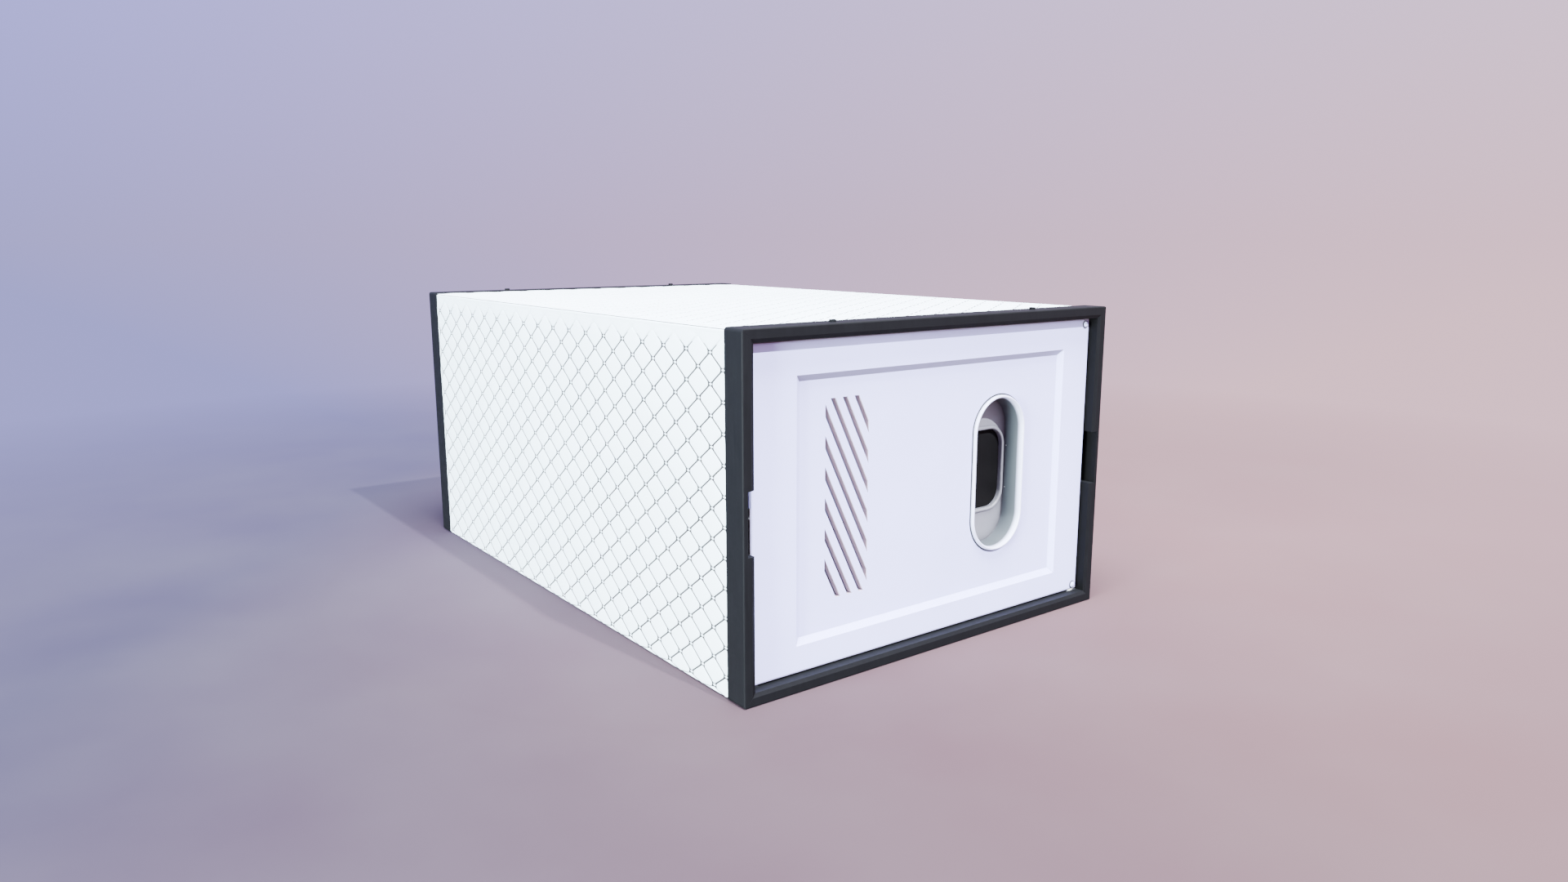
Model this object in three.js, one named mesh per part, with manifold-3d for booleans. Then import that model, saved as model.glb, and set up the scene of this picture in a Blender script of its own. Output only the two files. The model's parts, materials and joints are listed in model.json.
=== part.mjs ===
// Box-shaped calf hutch: two ring frames hold a quilted shell, a hinged front door and a fixed rear panel.
// Millimetres, +Z up, +X to the right seen from the front, +Y towards the rear.
// The origin lies on the ground under the middle of the hutch.
import * as THREE from 'three';
import { mergeVertices } from 'three/addons/utils/BufferGeometryUtils.js';
import Module from 'manifold-3d';

const wasm = await Module();
wasm.setup();

// ---------------------------------------------------------------- driving dimensions

// overall size of the ring frames
const WIDTH = 1592;
const HEIGHT = 1100;
const LENGTH = 2458;

// clearances
const FIT_GAP = 0.3;
const CUT_MARGIN = 1;
const WELD_TOLERANCE = 0.001;

// ring frame section
const FRAME_BAND = 41;
const FRAME_DEPTH = 87;
const FRAME_FRONT_FLAT = 29;
const INNER_BEVEL_DEPTH = 5.5;
const EDGE_ROUND = 5;
const RING_CORNER_ROUND = 11;
const NOTCH_HEIGHT = 192;
const NOTCH_OUTER_WALL = 16;
const NOTCH_REAR_WALL = 22;

// shell panels and the grooves that hold them
const SHELL_INSET = 5.4;
const SHELL_THICKNESS = 25;
const SHELL_GROUND_GAP = 4.5;
const WALL_GROOVE = 14;
const ROOF_GROOVE_FRONT_WALL = 30;
const EAVE_LEG = 40;
const EAVE_THICKNESS = 3;
const EAVE_END_GAP = 2;

// corner keys inside the mitred frame joints
const KEY_NEAR_SIDE = 10;
const KEY_WIDTH = 21;
const KEY_FRONT = 8;
const KEY_THICKNESS = 16;
const KEY_REACH = 55;

// hexagon bolts that fix the roof in the top rails
const FRAME_BOLT_FROM_SIDE = 353;
const FRAME_BOLT_ACROSS_FLATS = 19;
const FRAME_BOLT_HEAD = 7.5;
const FRAME_BOLT_SHANK = 12;
const FRAME_BOLT_LENGTH = 35;
const BOLT_CLEARANCE = 0.5;

// moulded front and rear panels
const PANEL_THICKNESS = 37;
const PANEL_REAR_ROOM = 13;
const PANEL_ROUND = 8;
const PANEL_GAP_FREE = 10;
const PANEL_GAP_HINGE = 2;
const PANEL_GAP_RAIL = 3;
const FIELD_DEPTH = 15;
const FIELD_SLOPE = 20;
const FIELD_MARGIN_FREE = 165;
const FIELD_MARGIN_HINGE = 137;
const FIELD_MARGIN_TOP = 103;
const FIELD_MARGIN_BOTTOM = 87;

// ventilation slots
const VENT_MARGIN_FREE = 120;
const VENT_MARGIN_TOP = 80;
const VENT_WIDTH = 173;
const VENT_MARGIN_BOTTOM = 118;
const VENT_SLOT = 17;
const VENT_PITCH = 42;
const VENT_ANGLE = 63.8;
const VENT_OFFSET = 2.4;

// feed port
const PORT_FROM_HINGE_EDGE = 448;
const PORT_BELOW_MIDDLE = 5;
const PORT_HALF_WIDTH = 111;
const PORT_HALF_HEIGHT = 259;
const PORT_WALL = 5;
const PORT_RIM = 18;
const PORT_RIM_STAND_OUT = 12;
const PORT_RIM_ROUND = 5;
const PORT_DEPTH = 82;
const PORT_CLEARANCE = 1;
const CLAMP_RING_WIDTH = 22;
const CLAMP_RING_THICKNESS = 6;
const BACK_PLATE_THICKNESS = 6;
const BACK_SKIRT = 20;
const BACK_SKIRT_WALL = 5;
const MOUTH_HALF_WIDTH = 97;
const MOUTH_HALF_HEIGHT = 140;
const MOUTH_ROUND = 62;
const MOUTH_RING_WIDTH = 12;
const MOUTH_RING_STAND_OUT = 6;
const PLATE_SCREW_SPREAD = 150;
const PLATE_SCREW_SHANK = 5;
const PLATE_SCREW_HEAD = 11;
const PLATE_SCREW_HEAD_HEIGHT = 3;
const PLATE_SCREW_STAND_IN = 0.5;

// swing flap behind the mouth
const FLAP_OVERLAP = 14;
const FLAP_THICKNESS = 5;
const FLAP_GAP = 0.6;
const FLAP_PIN = 6;
const FLAP_SEAT_HEIGHT = 6.4;
const FLAP_SEAT_WIDTH = 6;
const FLAP_PIN_ABOVE_MOUTH = 26;
const FLAP_BARREL = 13;
const FLAP_PIN_RUNNING_GAP = 0.08;
const FLAP_PIN_STAND_OUT = 3;
const EAR_THICKNESS = 6;
const EAR_HEIGHT = 26;
const EAR_SIDE_GAP = 2;
const EAR_BEHIND_BARREL = 1;

// door hinge
const HINGE_FROM_EDGE = 25;
const HINGE_BEHIND_FACE = 14;
const HINGE_PIN = 14;
const HINGE_PIN_ENGAGEMENT = 15;
const HINGE_RUNNING_GAP = 0.08;
const HINGE_PLATE_LENGTH = 50;
const HINGE_PLATE_WIDTH = 30;
const HINGE_PLATE_THICKNESS = 4;
const INSERT_WIDTH = 30;
const INSERT_DEPTH = 20;
const INSERT_HEIGHT = 40;
const THRUST_WASHER = 26;
const CAP_DIAMETER = 27;
const CAP_HEIGHT = 9;
const CAP_RIM = 2;
const CAP_DOME_STEPS = 4;
const CAP_FROM_EDGE = 20;
const CAP_SHANK = 8;

// rear panel brackets and door stops
const BRACKET_LEG = 60;
const STOP_LEG = 34;
const BRACKET_SIDE = 12;
const BRACKET_THICKNESS = 3;
const BRACKET_HEIGHT = 36;
const STOP_GAP = 0.6;
const STOP_FROM_END = 220;

// flush bolt in the free edge of the door
const ROD_DIAMETER = 10;
const ROD_TRAVEL = 28;
const ROD_END_GAP = 2;
const ROD_ABOVE_KNOB = 14;
const ROD_BEHIND_EDGE = 9;
const CHANNEL_WIDTH = 14;
const CHANNEL_DEPTH = 16;
const CHANNEL_ABOVE_ROD = 1.3;
const FACEPLATE_WIDTH = 20;
const FACEPLATE_THICKNESS = 2;
const FACEPLATE_ABOVE_KNOB = 32;
const KNOB_ABOVE_MIDDLE = 2;
const KNOB_STEM = 6;
const KNOB_DIAMETER = 12;
const KNOB_LENGTH = 6;
const KNOB_STAND_OUT = 13;
const KEEPER_LENGTH = 36;
const KEEPER_WIDTH = 22;
const KEEPER_THICKNESS = 3;
const KEEPER_BORE_GAP = 0.7;

// smoothness of round shapes
const ROUND_SIDES = 16;
const HEXAGON_SIDES = 6;
const ARC_SEGMENTS = 12;
const ROUNDING_SEGMENTS = 3;

// ---------------------------------------------------------------- derived places

const SIDE = WIDTH / 2;
const FRONT = -LENGTH / 2;
const MIDDLE = HEIGHT / 2;
const HALF_TURN = Math.PI;
const QUARTER_TURN = Math.PI / 2;
const THREE_QUARTERS = HALF_TURN + QUARTER_TURN;
const ROOF_GROOVE = FRAME_DEPTH - ROOF_GROOVE_FRONT_WALL;
const PANEL_REAR = FRONT + FRAME_DEPTH - PANEL_REAR_ROOM;
const PANEL_FRONT = PANEL_REAR - PANEL_THICKNESS;
const PIVOT_LINE = PANEL_FRONT + HINGE_BEHIND_FACE;
const FIELD_FACE = PANEL_FRONT + FIELD_DEPTH;
const PANEL_FREE_EDGE = -SIDE + FRAME_BAND + PANEL_GAP_FREE;
const PANEL_HINGE_EDGE = SIDE - FRAME_BAND - PANEL_GAP_HINGE;
const PANEL_TOP = HEIGHT - FRAME_BAND - PANEL_GAP_RAIL;
const PANEL_BOTTOM = FRAME_BAND + PANEL_GAP_RAIL;
const PORT_X = PANEL_HINGE_EDGE - PORT_FROM_HINGE_EDGE;
const PORT_CENTRE_HEIGHT = MIDDLE - PORT_BELOW_MIDDLE;
const PORT_FRONT = FIELD_FACE - PORT_RIM_STAND_OUT;
const PORT_END = PORT_FRONT + PORT_DEPTH;
const PLATE_FACE = PORT_END + FIT_GAP;
const PLATE_REAR = PLATE_FACE + BACK_PLATE_THICKNESS;
const HINGE_X = PANEL_HINGE_EDGE - HINGE_FROM_EDGE;
const ROD_X = PANEL_FREE_EDGE + ROD_BEHIND_EDGE;
const KNOB_HEIGHT = MIDDLE + KNOB_ABOVE_MIDDLE;
const ROD_TOP = KNOB_HEIGHT + ROD_ABOVE_KNOB;
const FACEPLATE_TOP = KNOB_HEIGHT + FACEPLATE_ABOVE_KNOB;
const FLAP_FACE = PLATE_REAR + FLAP_SEAT_HEIGHT + FLAP_GAP;
const FLAP_PIN_Z = PORT_CENTRE_HEIGHT + MOUTH_HALF_HEIGHT + FLAP_PIN_ABOVE_MOUTH;
const FRAME_BOLT_X = SIDE - FRAME_BOLT_FROM_SIDE;
const FRAME_BOLT_Y = FRONT + FRAME_DEPTH / 2;
const SHELL_INNER = SHELL_INSET + SHELL_THICKNESS;

// ---------------------------------------------------------------- materials

function charcoalPlastic() {
  return new THREE.MeshStandardMaterial({ color: 0x3a4147, roughness: 0.6, metalness: 0 });
}

function whitePlastic() {
  return new THREE.MeshStandardMaterial({ color: 0xeef2f6, roughness: 0.45, metalness: 0 });
}

function blackRubber() {
  return new THREE.MeshStandardMaterial({ color: 0x303032, roughness: 0.8, metalness: 0 });
}

function zincSteel() {
  return new THREE.MeshStandardMaterial({ color: 0xb4b8bc, roughness: 0.4, metalness: 1 });
}

function mattAluminium() {
  return new THREE.MeshStandardMaterial({ color: 0xc8ccd0, roughness: 0.45, metalness: 1 });
}

function naturalNylon() {
  return new THREE.MeshStandardMaterial({ color: 0xe6e4da, roughness: 0.5, metalness: 0 });
}

// ---------------------------------------------------------------- shape helpers

function toSolid(geometry) {
  const bare = geometry.clone();
  bare.deleteAttribute('normal');
  bare.deleteAttribute('uv');
  const merged = mergeVertices(bare, WELD_TOLERANCE);
  const mesh = new wasm.Mesh({
    numProp: 3,
    vertProperties: merged.attributes.position.array,
    triVerts: new Uint32Array(merged.index.array),
  });
  return new wasm.Manifold(mesh);
}

function toGeometry(solid) {
  const mesh = solid.getMesh();
  const geometry = new THREE.BufferGeometry();
  geometry.setAttribute('position', new THREE.BufferAttribute(mesh.vertProperties, mesh.numProp));
  geometry.setIndex(new THREE.BufferAttribute(mesh.triVerts, 1));
  return geometry;
}

function cut(base, cutters) {
  let solid = toSolid(base);
  for (const cutter of cutters) {
    solid = solid.subtract(toSolid(cutter));
  }
  return toGeometry(solid);
}

function join(pieces) {
  let solid = toSolid(pieces[0]);
  for (const piece of pieces.slice(1)) {
    solid = solid.add(toSolid(piece));
  }
  return toGeometry(solid);
}

function block(x0, x1, y0, y1, z0, z1) {
  const geometry = new THREE.BoxGeometry(x1 - x0, y1 - y0, z1 - z0);
  geometry.translate((x0 + x1) / 2, (y0 + y1) / 2, (z0 + z1) / 2);
  return geometry;
}

// A round bar between two points on a line along one axis.
function roundBar(axis, diameter, start, length, sides = ROUND_SIDES) {
  const geometry = new THREE.CylinderGeometry(diameter / 2, diameter / 2, length, sides);
  geometry.translate(0, length / 2, 0);
  if (axis === 'x') {
    geometry.rotateZ(-QUARTER_TURN);
  }
  if (axis === 'z') {
    geometry.rotateX(QUARTER_TURN);
  }
  geometry.translate(start.x, start.y, start.z);
  return geometry;
}

// An outline drawn in x and z, carried from y0 to y1, with its end edges rounded where asked.
function plateAlongY(outline, y0, y1, round = 0) {
  const geometry = new THREE.ExtrudeGeometry(outline, {
    depth: y1 - y0 - 2 * round,
    curveSegments: ARC_SEGMENTS,
    bevelEnabled: round > 0,
    bevelSize: round,
    bevelThickness: round,
    bevelOffset: -round,
    bevelSegments: ROUNDING_SEGMENTS,
  });
  geometry.rotateX(QUARTER_TURN);
  geometry.translate(0, y1 - round, 0);
  return geometry;
}

function rectangle(x0, x1, z0, z1) {
  const outline = new THREE.Shape();
  outline.moveTo(x0, z0);
  outline.lineTo(x1, z0);
  outline.lineTo(x1, z1);
  outline.lineTo(x0, z1);
  outline.closePath();
  return outline;
}

// An upright slot outline with half-round ends.
function stadium(centreX, centreZ, size, Kind) {
  const straight = size.halfHeight - size.halfWidth;
  const outline = new Kind();
  outline.absarc(centreX, centreZ + straight, size.halfWidth, 0, HALF_TURN, false);
  outline.absarc(centreX, centreZ - straight, size.halfWidth, HALF_TURN, 2 * HALF_TURN, false);
  outline.closePath();
  return outline;
}

// An upright outline with four rounded corners and straight sides between them.
function roundedPlate(centreX, centreZ, size, Kind) {
  const across = size.halfWidth - size.round;
  const up = size.halfHeight - size.round;
  const outline = new Kind();
  outline.absarc(centreX + across, centreZ + up, size.round, 0, QUARTER_TURN, false);
  outline.absarc(centreX - across, centreZ + up, size.round, QUARTER_TURN, HALF_TURN, false);
  outline.absarc(centreX - across, centreZ - up, size.round, HALF_TURN, THREE_QUARTERS, false);
  outline.absarc(centreX + across, centreZ - up, size.round, THREE_QUARTERS, 2 * HALF_TURN, false);
  outline.closePath();
  return outline;
}

function grown(size, by) {
  return { halfWidth: size.halfWidth + by, halfHeight: size.halfHeight + by, round: size.round + by };
}

function named(name, geometry, material) {
  const mesh = new THREE.Mesh(geometry, material);
  mesh.name = name;
  return mesh;
}

// Turns a front fitting round the vertical middle of the hutch, so it serves the rear.
function turnedToRear(geometry) {
  return geometry.clone().rotateZ(HALF_TURN);
}

// Turns a piece over about the middle of the front frame, so a left piece serves the right.
function turnedOver(geometry) {
  const turned = geometry.clone();
  turned.translate(0, 0, -MIDDLE);
  turned.rotateY(HALF_TURN);
  turned.translate(0, 0, MIDDLE);
  return turned;
}

// ---------------------------------------------------------------- ring frames

// Section of a frame member: x runs from the outside of the ring inwards, y from its front to its rear.
function frameSection(grooveDepth) {
  const rear = FRAME_DEPTH;
  const section = new THREE.Shape();
  section.moveTo(EDGE_ROUND, 0);
  section.lineTo(FRAME_FRONT_FLAT, 0);
  section.lineTo(FRAME_BAND, INNER_BEVEL_DEPTH);
  section.lineTo(FRAME_BAND, rear);
  if (grooveDepth > 0) {
    section.lineTo(SHELL_INNER + FIT_GAP, rear);
    section.lineTo(SHELL_INNER + FIT_GAP, rear - grooveDepth);
    section.lineTo(SHELL_INSET - FIT_GAP, rear - grooveDepth);
    section.lineTo(SHELL_INSET - FIT_GAP, rear);
  }
  section.lineTo(0, rear);
  section.lineTo(0, EDGE_ROUND);
  section.absarc(EDGE_ROUND, EDGE_ROUND, EDGE_ROUND, HALF_TURN, THREE_QUARTERS, false);
  return section;
}

// A straight member along z, cut to a mitre at both ends.
function mitredMember(section, span) {
  const half = span / 2;
  const geometry = new THREE.ExtrudeGeometry(section, {
    depth: span,
    bevelEnabled: false,
    curveSegments: ROUNDING_SEGMENTS,
  });
  const position = geometry.attributes.position;
  for (let i = 0; i < position.count; i += 1) {
    const end = position.getZ(i) > half ? 1 : -1;
    position.setZ(i, end * (half - position.getX(i) - FIT_GAP));
  }
  return geometry;
}

// Material outside the rounded corner of the ring, at one end of a member along z.
function cornerWaste(span, end) {
  const outline = new THREE.Shape();
  outline.moveTo(-CUT_MARGIN, -CUT_MARGIN);
  outline.lineTo(RING_CORNER_ROUND, -CUT_MARGIN);
  outline.lineTo(RING_CORNER_ROUND, 0);
  outline.absarc(RING_CORNER_ROUND, RING_CORNER_ROUND, RING_CORNER_ROUND, -QUARTER_TURN, -HALF_TURN, true);
  outline.lineTo(-CUT_MARGIN, RING_CORNER_ROUND);
  outline.closePath();
  const waste = plateAlongY(outline, -CUT_MARGIN, FRAME_DEPTH + CUT_MARGIN);
  if (end > 0) {
    waste.rotateY(QUARTER_TURN);
  }
  waste.translate(0, 0, end * span / 2);
  return waste;
}

function keyPocket(span, end) {
  const deep = end * (span / 2 - KEY_REACH);
  const open = end * (span / 2 + CUT_MARGIN);
  const near = KEY_NEAR_SIDE;
  const far = KEY_NEAR_SIDE + KEY_WIDTH;
  const rear = KEY_FRONT + KEY_THICKNESS;
  return block(near, far, KEY_FRONT, rear, Math.min(deep, open), Math.max(deep, open));
}

function endCuts(span) {
  return [cornerWaste(span, -1), cornerWaste(span, 1), keyPocket(span, -1), keyPocket(span, 1)];
}

function handNotch() {
  const half = NOTCH_HEIGHT / 2;
  const rear = FRAME_DEPTH - NOTCH_REAR_WALL;
  return block(NOTCH_OUTER_WALL, FRAME_BAND + CUT_MARGIN, -CUT_MARGIN, rear, -half, half);
}

function leftPost() {
  const bar = mitredMember(frameSection(WALL_GROOVE), HEIGHT);
  const post = cut(bar, [...endCuts(HEIGHT), handNotch()]);
  return post.translate(-SIDE, FRONT, MIDDLE);
}

// Rails are built along z and then laid down: x of the section becomes the way into the ring.
function layRail(geometry, isTop) {
  geometry.rotateY(isTop ? QUARTER_TURN : -QUARTER_TURN);
  return geometry.translate(0, FRONT, isTop ? HEIGHT : 0);
}

function topRail(fittings) {
  const bar = mitredMember(frameSection(ROOF_GROOVE), WIDTH);
  const rail = layRail(cut(bar, endCuts(WIDTH)), true);
  const holes = [-1, 1].map((side) => frameBoltHole(side));
  return cut(rail, [...holes, ...fittings]);
}

// Room in the end of a bottom rail for the foot of a wall.
function wallFootRecess(side) {
  const outer = SIDE - SHELL_INSET + FIT_GAP;
  const inner = SIDE - SHELL_INNER - FIT_GAP;
  const x0 = side > 0 ? inner : -outer;
  const y0 = FRONT + FRAME_DEPTH - WALL_GROOVE;
  const y1 = FRONT + FRAME_DEPTH + CUT_MARGIN;
  return block(x0, x0 + outer - inner, y0, y1, SHELL_GROUND_GAP - FIT_GAP, FRAME_BAND + CUT_MARGIN);
}

function bottomRail(fittings) {
  const bar = mitredMember(frameSection(0), WIDTH);
  const rail = layRail(cut(bar, endCuts(WIDTH)), false);
  return cut(rail, [wallFootRecess(-1), wallFootRecess(1), ...fittings]);
}

// An L-shaped key for the bottom left corner, drawn in x and z from the corner.
function cornerKey() {
  const near = KEY_NEAR_SIDE + FIT_GAP;
  const far = KEY_NEAR_SIDE + KEY_WIDTH - FIT_GAP;
  const reach = KEY_REACH - FIT_GAP;
  const outline = new THREE.Shape();
  outline.moveTo(near, near);
  outline.lineTo(reach, near);
  outline.lineTo(reach, far);
  outline.lineTo(far, far);
  outline.lineTo(far, reach);
  outline.lineTo(near, reach);
  outline.closePath();
  return plateAlongY(outline, KEY_FRONT + FIT_GAP, KEY_FRONT + KEY_THICKNESS - FIT_GAP);
}

function cornerKeys() {
  const corners = [
    { x: -SIDE, z: 0, turn: 0 },
    { x: -SIDE, z: HEIGHT, turn: QUARTER_TURN },
    { x: SIDE, z: HEIGHT, turn: HALF_TURN },
    { x: SIDE, z: 0, turn: -QUARTER_TURN },
  ];
  return corners.map((corner) => {
    const key = cornerKey().rotateY(corner.turn);
    return key.translate(corner.x, FRONT, corner.z);
  });
}

function frameBolt(side) {
  const x = side * FRAME_BOLT_X;
  const headRadius = FRAME_BOLT_ACROSS_FLATS / Math.sqrt(3);
  const seat = HEIGHT + FIT_GAP;
  const headFoot = { x, y: FRAME_BOLT_Y, z: seat };
  const head = roundBar('z', 2 * headRadius, headFoot, FRAME_BOLT_HEAD - FIT_GAP, HEXAGON_SIDES);
  const foot = { x, y: FRAME_BOLT_Y, z: seat - FRAME_BOLT_LENGTH };
  const shank = roundBar('z', FRAME_BOLT_SHANK, foot, FRAME_BOLT_LENGTH + CUT_MARGIN);
  return join([head, shank]);
}

function frameBoltHole(side) {
  const foot = { x: side * FRAME_BOLT_X, y: FRAME_BOLT_Y, z: HEIGHT - FRAME_BOLT_LENGTH - CUT_MARGIN };
  return roundBar('z', FRAME_BOLT_SHANK + 2 * BOLT_CLEARANCE, foot, FRAME_BOLT_LENGTH + 2 * CUT_MARGIN);
}

// ---------------------------------------------------------------- shell

// Outline across the hutch of a left wall whose top edge is mitred to meet the roof.
function leftWall() {
  const outer = -SIDE + SHELL_INSET;
  const inner = -SIDE + SHELL_INNER;
  const outline = new THREE.Shape();
  outline.moveTo(outer, SHELL_GROUND_GAP);
  outline.lineTo(inner, SHELL_GROUND_GAP);
  outline.lineTo(inner, HEIGHT - SHELL_INNER - FIT_GAP);
  outline.lineTo(outer, HEIGHT - SHELL_INSET - FIT_GAP);
  outline.closePath();
  const end = LENGTH / 2 - FRAME_DEPTH + WALL_GROOVE - FIT_GAP;
  return plateAlongY(outline, -end, end);
}

function roofPanel() {
  const top = HEIGHT - SHELL_INSET;
  const underside = HEIGHT - SHELL_INNER;
  const outer = SIDE - SHELL_INSET - FIT_GAP;
  const inner = SIDE - SHELL_INNER - FIT_GAP;
  const outline = new THREE.Shape();
  outline.moveTo(-inner, underside);
  outline.lineTo(inner, underside);
  outline.lineTo(outer, top);
  outline.lineTo(-outer, top);
  outline.closePath();
  const end = LENGTH / 2 - FRAME_DEPTH + ROOF_GROOVE - FIT_GAP;
  const frontHoles = [-1, 1].map((side) => frameBoltHole(side));
  const rearHoles = frontHoles.map((hole) => turnedToRear(hole));
  return cut(plateAlongY(outline, -end, end), [...frontHoles, ...rearHoles]);
}

function leftEaveAngle() {
  const wall = -SIDE + SHELL_INNER + FIT_GAP;
  const roof = HEIGHT - SHELL_INNER - FIT_GAP;
  const outline = new THREE.Shape();
  outline.moveTo(wall, roof);
  outline.lineTo(wall, roof - EAVE_LEG);
  outline.lineTo(wall + EAVE_THICKNESS, roof - EAVE_LEG);
  outline.lineTo(wall + EAVE_THICKNESS, roof - EAVE_THICKNESS);
  outline.lineTo(wall + EAVE_LEG, roof - EAVE_THICKNESS);
  outline.lineTo(wall + EAVE_LEG, roof);
  outline.closePath();
  const end = LENGTH / 2 - FRAME_DEPTH - EAVE_END_GAP;
  return plateAlongY(outline, -end, end);
}

// ---------------------------------------------------------------- moulded panels

// Waste of the sunken field: a tray with sloping sides that opens at the panel's face.
function fieldWaste() {
  const x0 = PANEL_FREE_EDGE + FIELD_MARGIN_FREE + FIELD_SLOPE;
  const x1 = PANEL_HINGE_EDGE - FIELD_MARGIN_HINGE - FIELD_SLOPE;
  const z0 = PANEL_BOTTOM + FIELD_MARGIN_BOTTOM + FIELD_SLOPE;
  const z1 = PANEL_TOP - FIELD_MARGIN_TOP - FIELD_SLOPE;
  const tray = new THREE.ExtrudeGeometry(rectangle(x0, x1, z0, z1), {
    depth: CUT_MARGIN,
    bevelEnabled: true,
    bevelSize: FIELD_SLOPE,
    bevelThickness: FIELD_DEPTH,
    bevelSegments: 1,
  });
  tray.rotateX(QUARTER_TURN);
  return tray.translate(0, PANEL_FRONT, 0);
}

// All ventilation slots as one solid: slanting bars kept inside an upright window.
function ventWaste() {
  const left = PANEL_FREE_EDGE + FIELD_MARGIN_FREE + VENT_MARGIN_FREE;
  const top = PANEL_TOP - FIELD_MARGIN_TOP - VENT_MARGIN_TOP;
  const bottom = PANEL_BOTTOM + FIELD_MARGIN_BOTTOM + VENT_MARGIN_BOTTOM;
  const height = top - bottom;
  const y0 = PANEL_FRONT - CUT_MARGIN;
  const y1 = PANEL_REAR + CUT_MARGIN;
  const ventWindow = toSolid(block(left, left + VENT_WIDTH, y0, y1, bottom, top));
  const slope = THREE.MathUtils.degToRad(VENT_ANGLE);
  const reach = VENT_WIDTH * Math.sin(slope) + height * Math.cos(slope);
  const count = Math.floor(reach / VENT_PITCH) - 1;
  const barLength = VENT_WIDTH + height;
  const bars = [];
  for (let i = 0; i < count; i += 1) {
    const across = VENT_OFFSET + (i - (count - 1) / 2) * VENT_PITCH;
    const bar = block(-VENT_SLOT / 2, VENT_SLOT / 2, y0, y1, -barLength, barLength);
    bar.translate(across, 0, 0);
    bar.rotateY(-(QUARTER_TURN - slope));
    bar.translate(left + VENT_WIDTH / 2, 0, (top + bottom) / 2);
    bars.push(toGeometry(toSolid(bar).intersect(ventWindow)));
  }
  return bars;
}

function panelBlank() {
  const outline = rectangle(PANEL_FREE_EDGE, PANEL_HINGE_EDGE, PANEL_BOTTOM, PANEL_TOP);
  return plateAlongY(outline, PANEL_FRONT, PANEL_REAR, PANEL_ROUND);
}

// The four corners of the panel where round caps sit, the hinge side first.
function capPlace(isHingeSide, isTop) {
  const x = isHingeSide ? HINGE_X : PANEL_FREE_EDGE + HINGE_FROM_EDGE;
  const z = isTop ? PANEL_TOP - CAP_FROM_EDGE : PANEL_BOTTOM + CAP_FROM_EDGE;
  return { x, z };
}

function capHole(place) {
  const start = { x: place.x, y: PANEL_FRONT - CUT_MARGIN, z: place.z };
  return roundBar('y', CAP_SHANK + 2 * BOLT_CLEARANCE, start, PANEL_THICKNESS + 2 * CUT_MARGIN);
}

// Round cap with a domed face and a plain shank behind it.
function capBolt(place, shankLength) {
  const radius = CAP_DIAMETER / 2;
  const profile = [new THREE.Vector2(0, 0), new THREE.Vector2(radius, 0)];
  for (let i = 0; i <= CAP_DOME_STEPS; i += 1) {
    const turn = (i / CAP_DOME_STEPS) * QUARTER_TURN;
    const height = CAP_RIM + (CAP_HEIGHT - CAP_RIM) * Math.sin(turn);
    profile.push(new THREE.Vector2(i === CAP_DOME_STEPS ? 0 : radius * Math.cos(turn), height));
  }
  const head = new THREE.LatheGeometry(profile, 2 * ROUND_SIDES);
  head.rotateX(HALF_TURN);
  head.translate(place.x, PANEL_FRONT - FIT_GAP, place.z);
  const start = { x: place.x, y: PANEL_FRONT - CUT_MARGIN, z: place.z };
  return join([head, roundBar('y', CAP_SHANK, start, shankLength + CUT_MARGIN)]);
}

function rearPanel() {
  const hingeSide = [capPlace(true, true), capPlace(true, false)];
  const freeSide = [capPlace(false, true), capPlace(false, false)];
  const holes = [...hingeSide, ...freeSide].map((place) => capHole(place));
  return turnedToRear(cut(panelBlank(), [fieldWaste(), ...ventWaste(), ...holes]));
}

// ---------------------------------------------------------------- hinges

// Pocket in the end edge of the door, with the block that fills it and its bores.
function insertBlock(isTop, gap) {
  const y0 = PIVOT_LINE - INSERT_DEPTH / 2 + gap;
  const y1 = PIVOT_LINE + INSERT_DEPTH / 2 - gap;
  const x0 = HINGE_X - INSERT_WIDTH / 2 + gap;
  const x1 = HINGE_X + INSERT_WIDTH / 2 - gap;
  const outside = gap > 0 ? 0 : CUT_MARGIN;
  if (isTop) {
    return block(x0, x1, y0, y1, PANEL_TOP - INSERT_HEIGHT + gap, PANEL_TOP + outside);
  }
  return block(x0, x1, y0, y1, PANEL_BOTTOM - outside, PANEL_BOTTOM + INSERT_HEIGHT - gap);
}

function hingeInsert(isTop) {
  const boreDepth = HINGE_PIN_ENGAGEMENT + CUT_MARGIN;
  const mouth = isTop ? PANEL_TOP - HINGE_PIN_ENGAGEMENT : PANEL_BOTTOM - CUT_MARGIN;
  const bore = roundBar(
    'z',
    HINGE_PIN + 2 * HINGE_RUNNING_GAP,
    { x: HINGE_X, y: PIVOT_LINE, z: mouth },
    boreDepth,
    2 * ROUND_SIDES,
  );
  return cut(insertBlock(isTop, FIT_GAP), [bore, capHole(capPlace(true, isTop))]);
}

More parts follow.
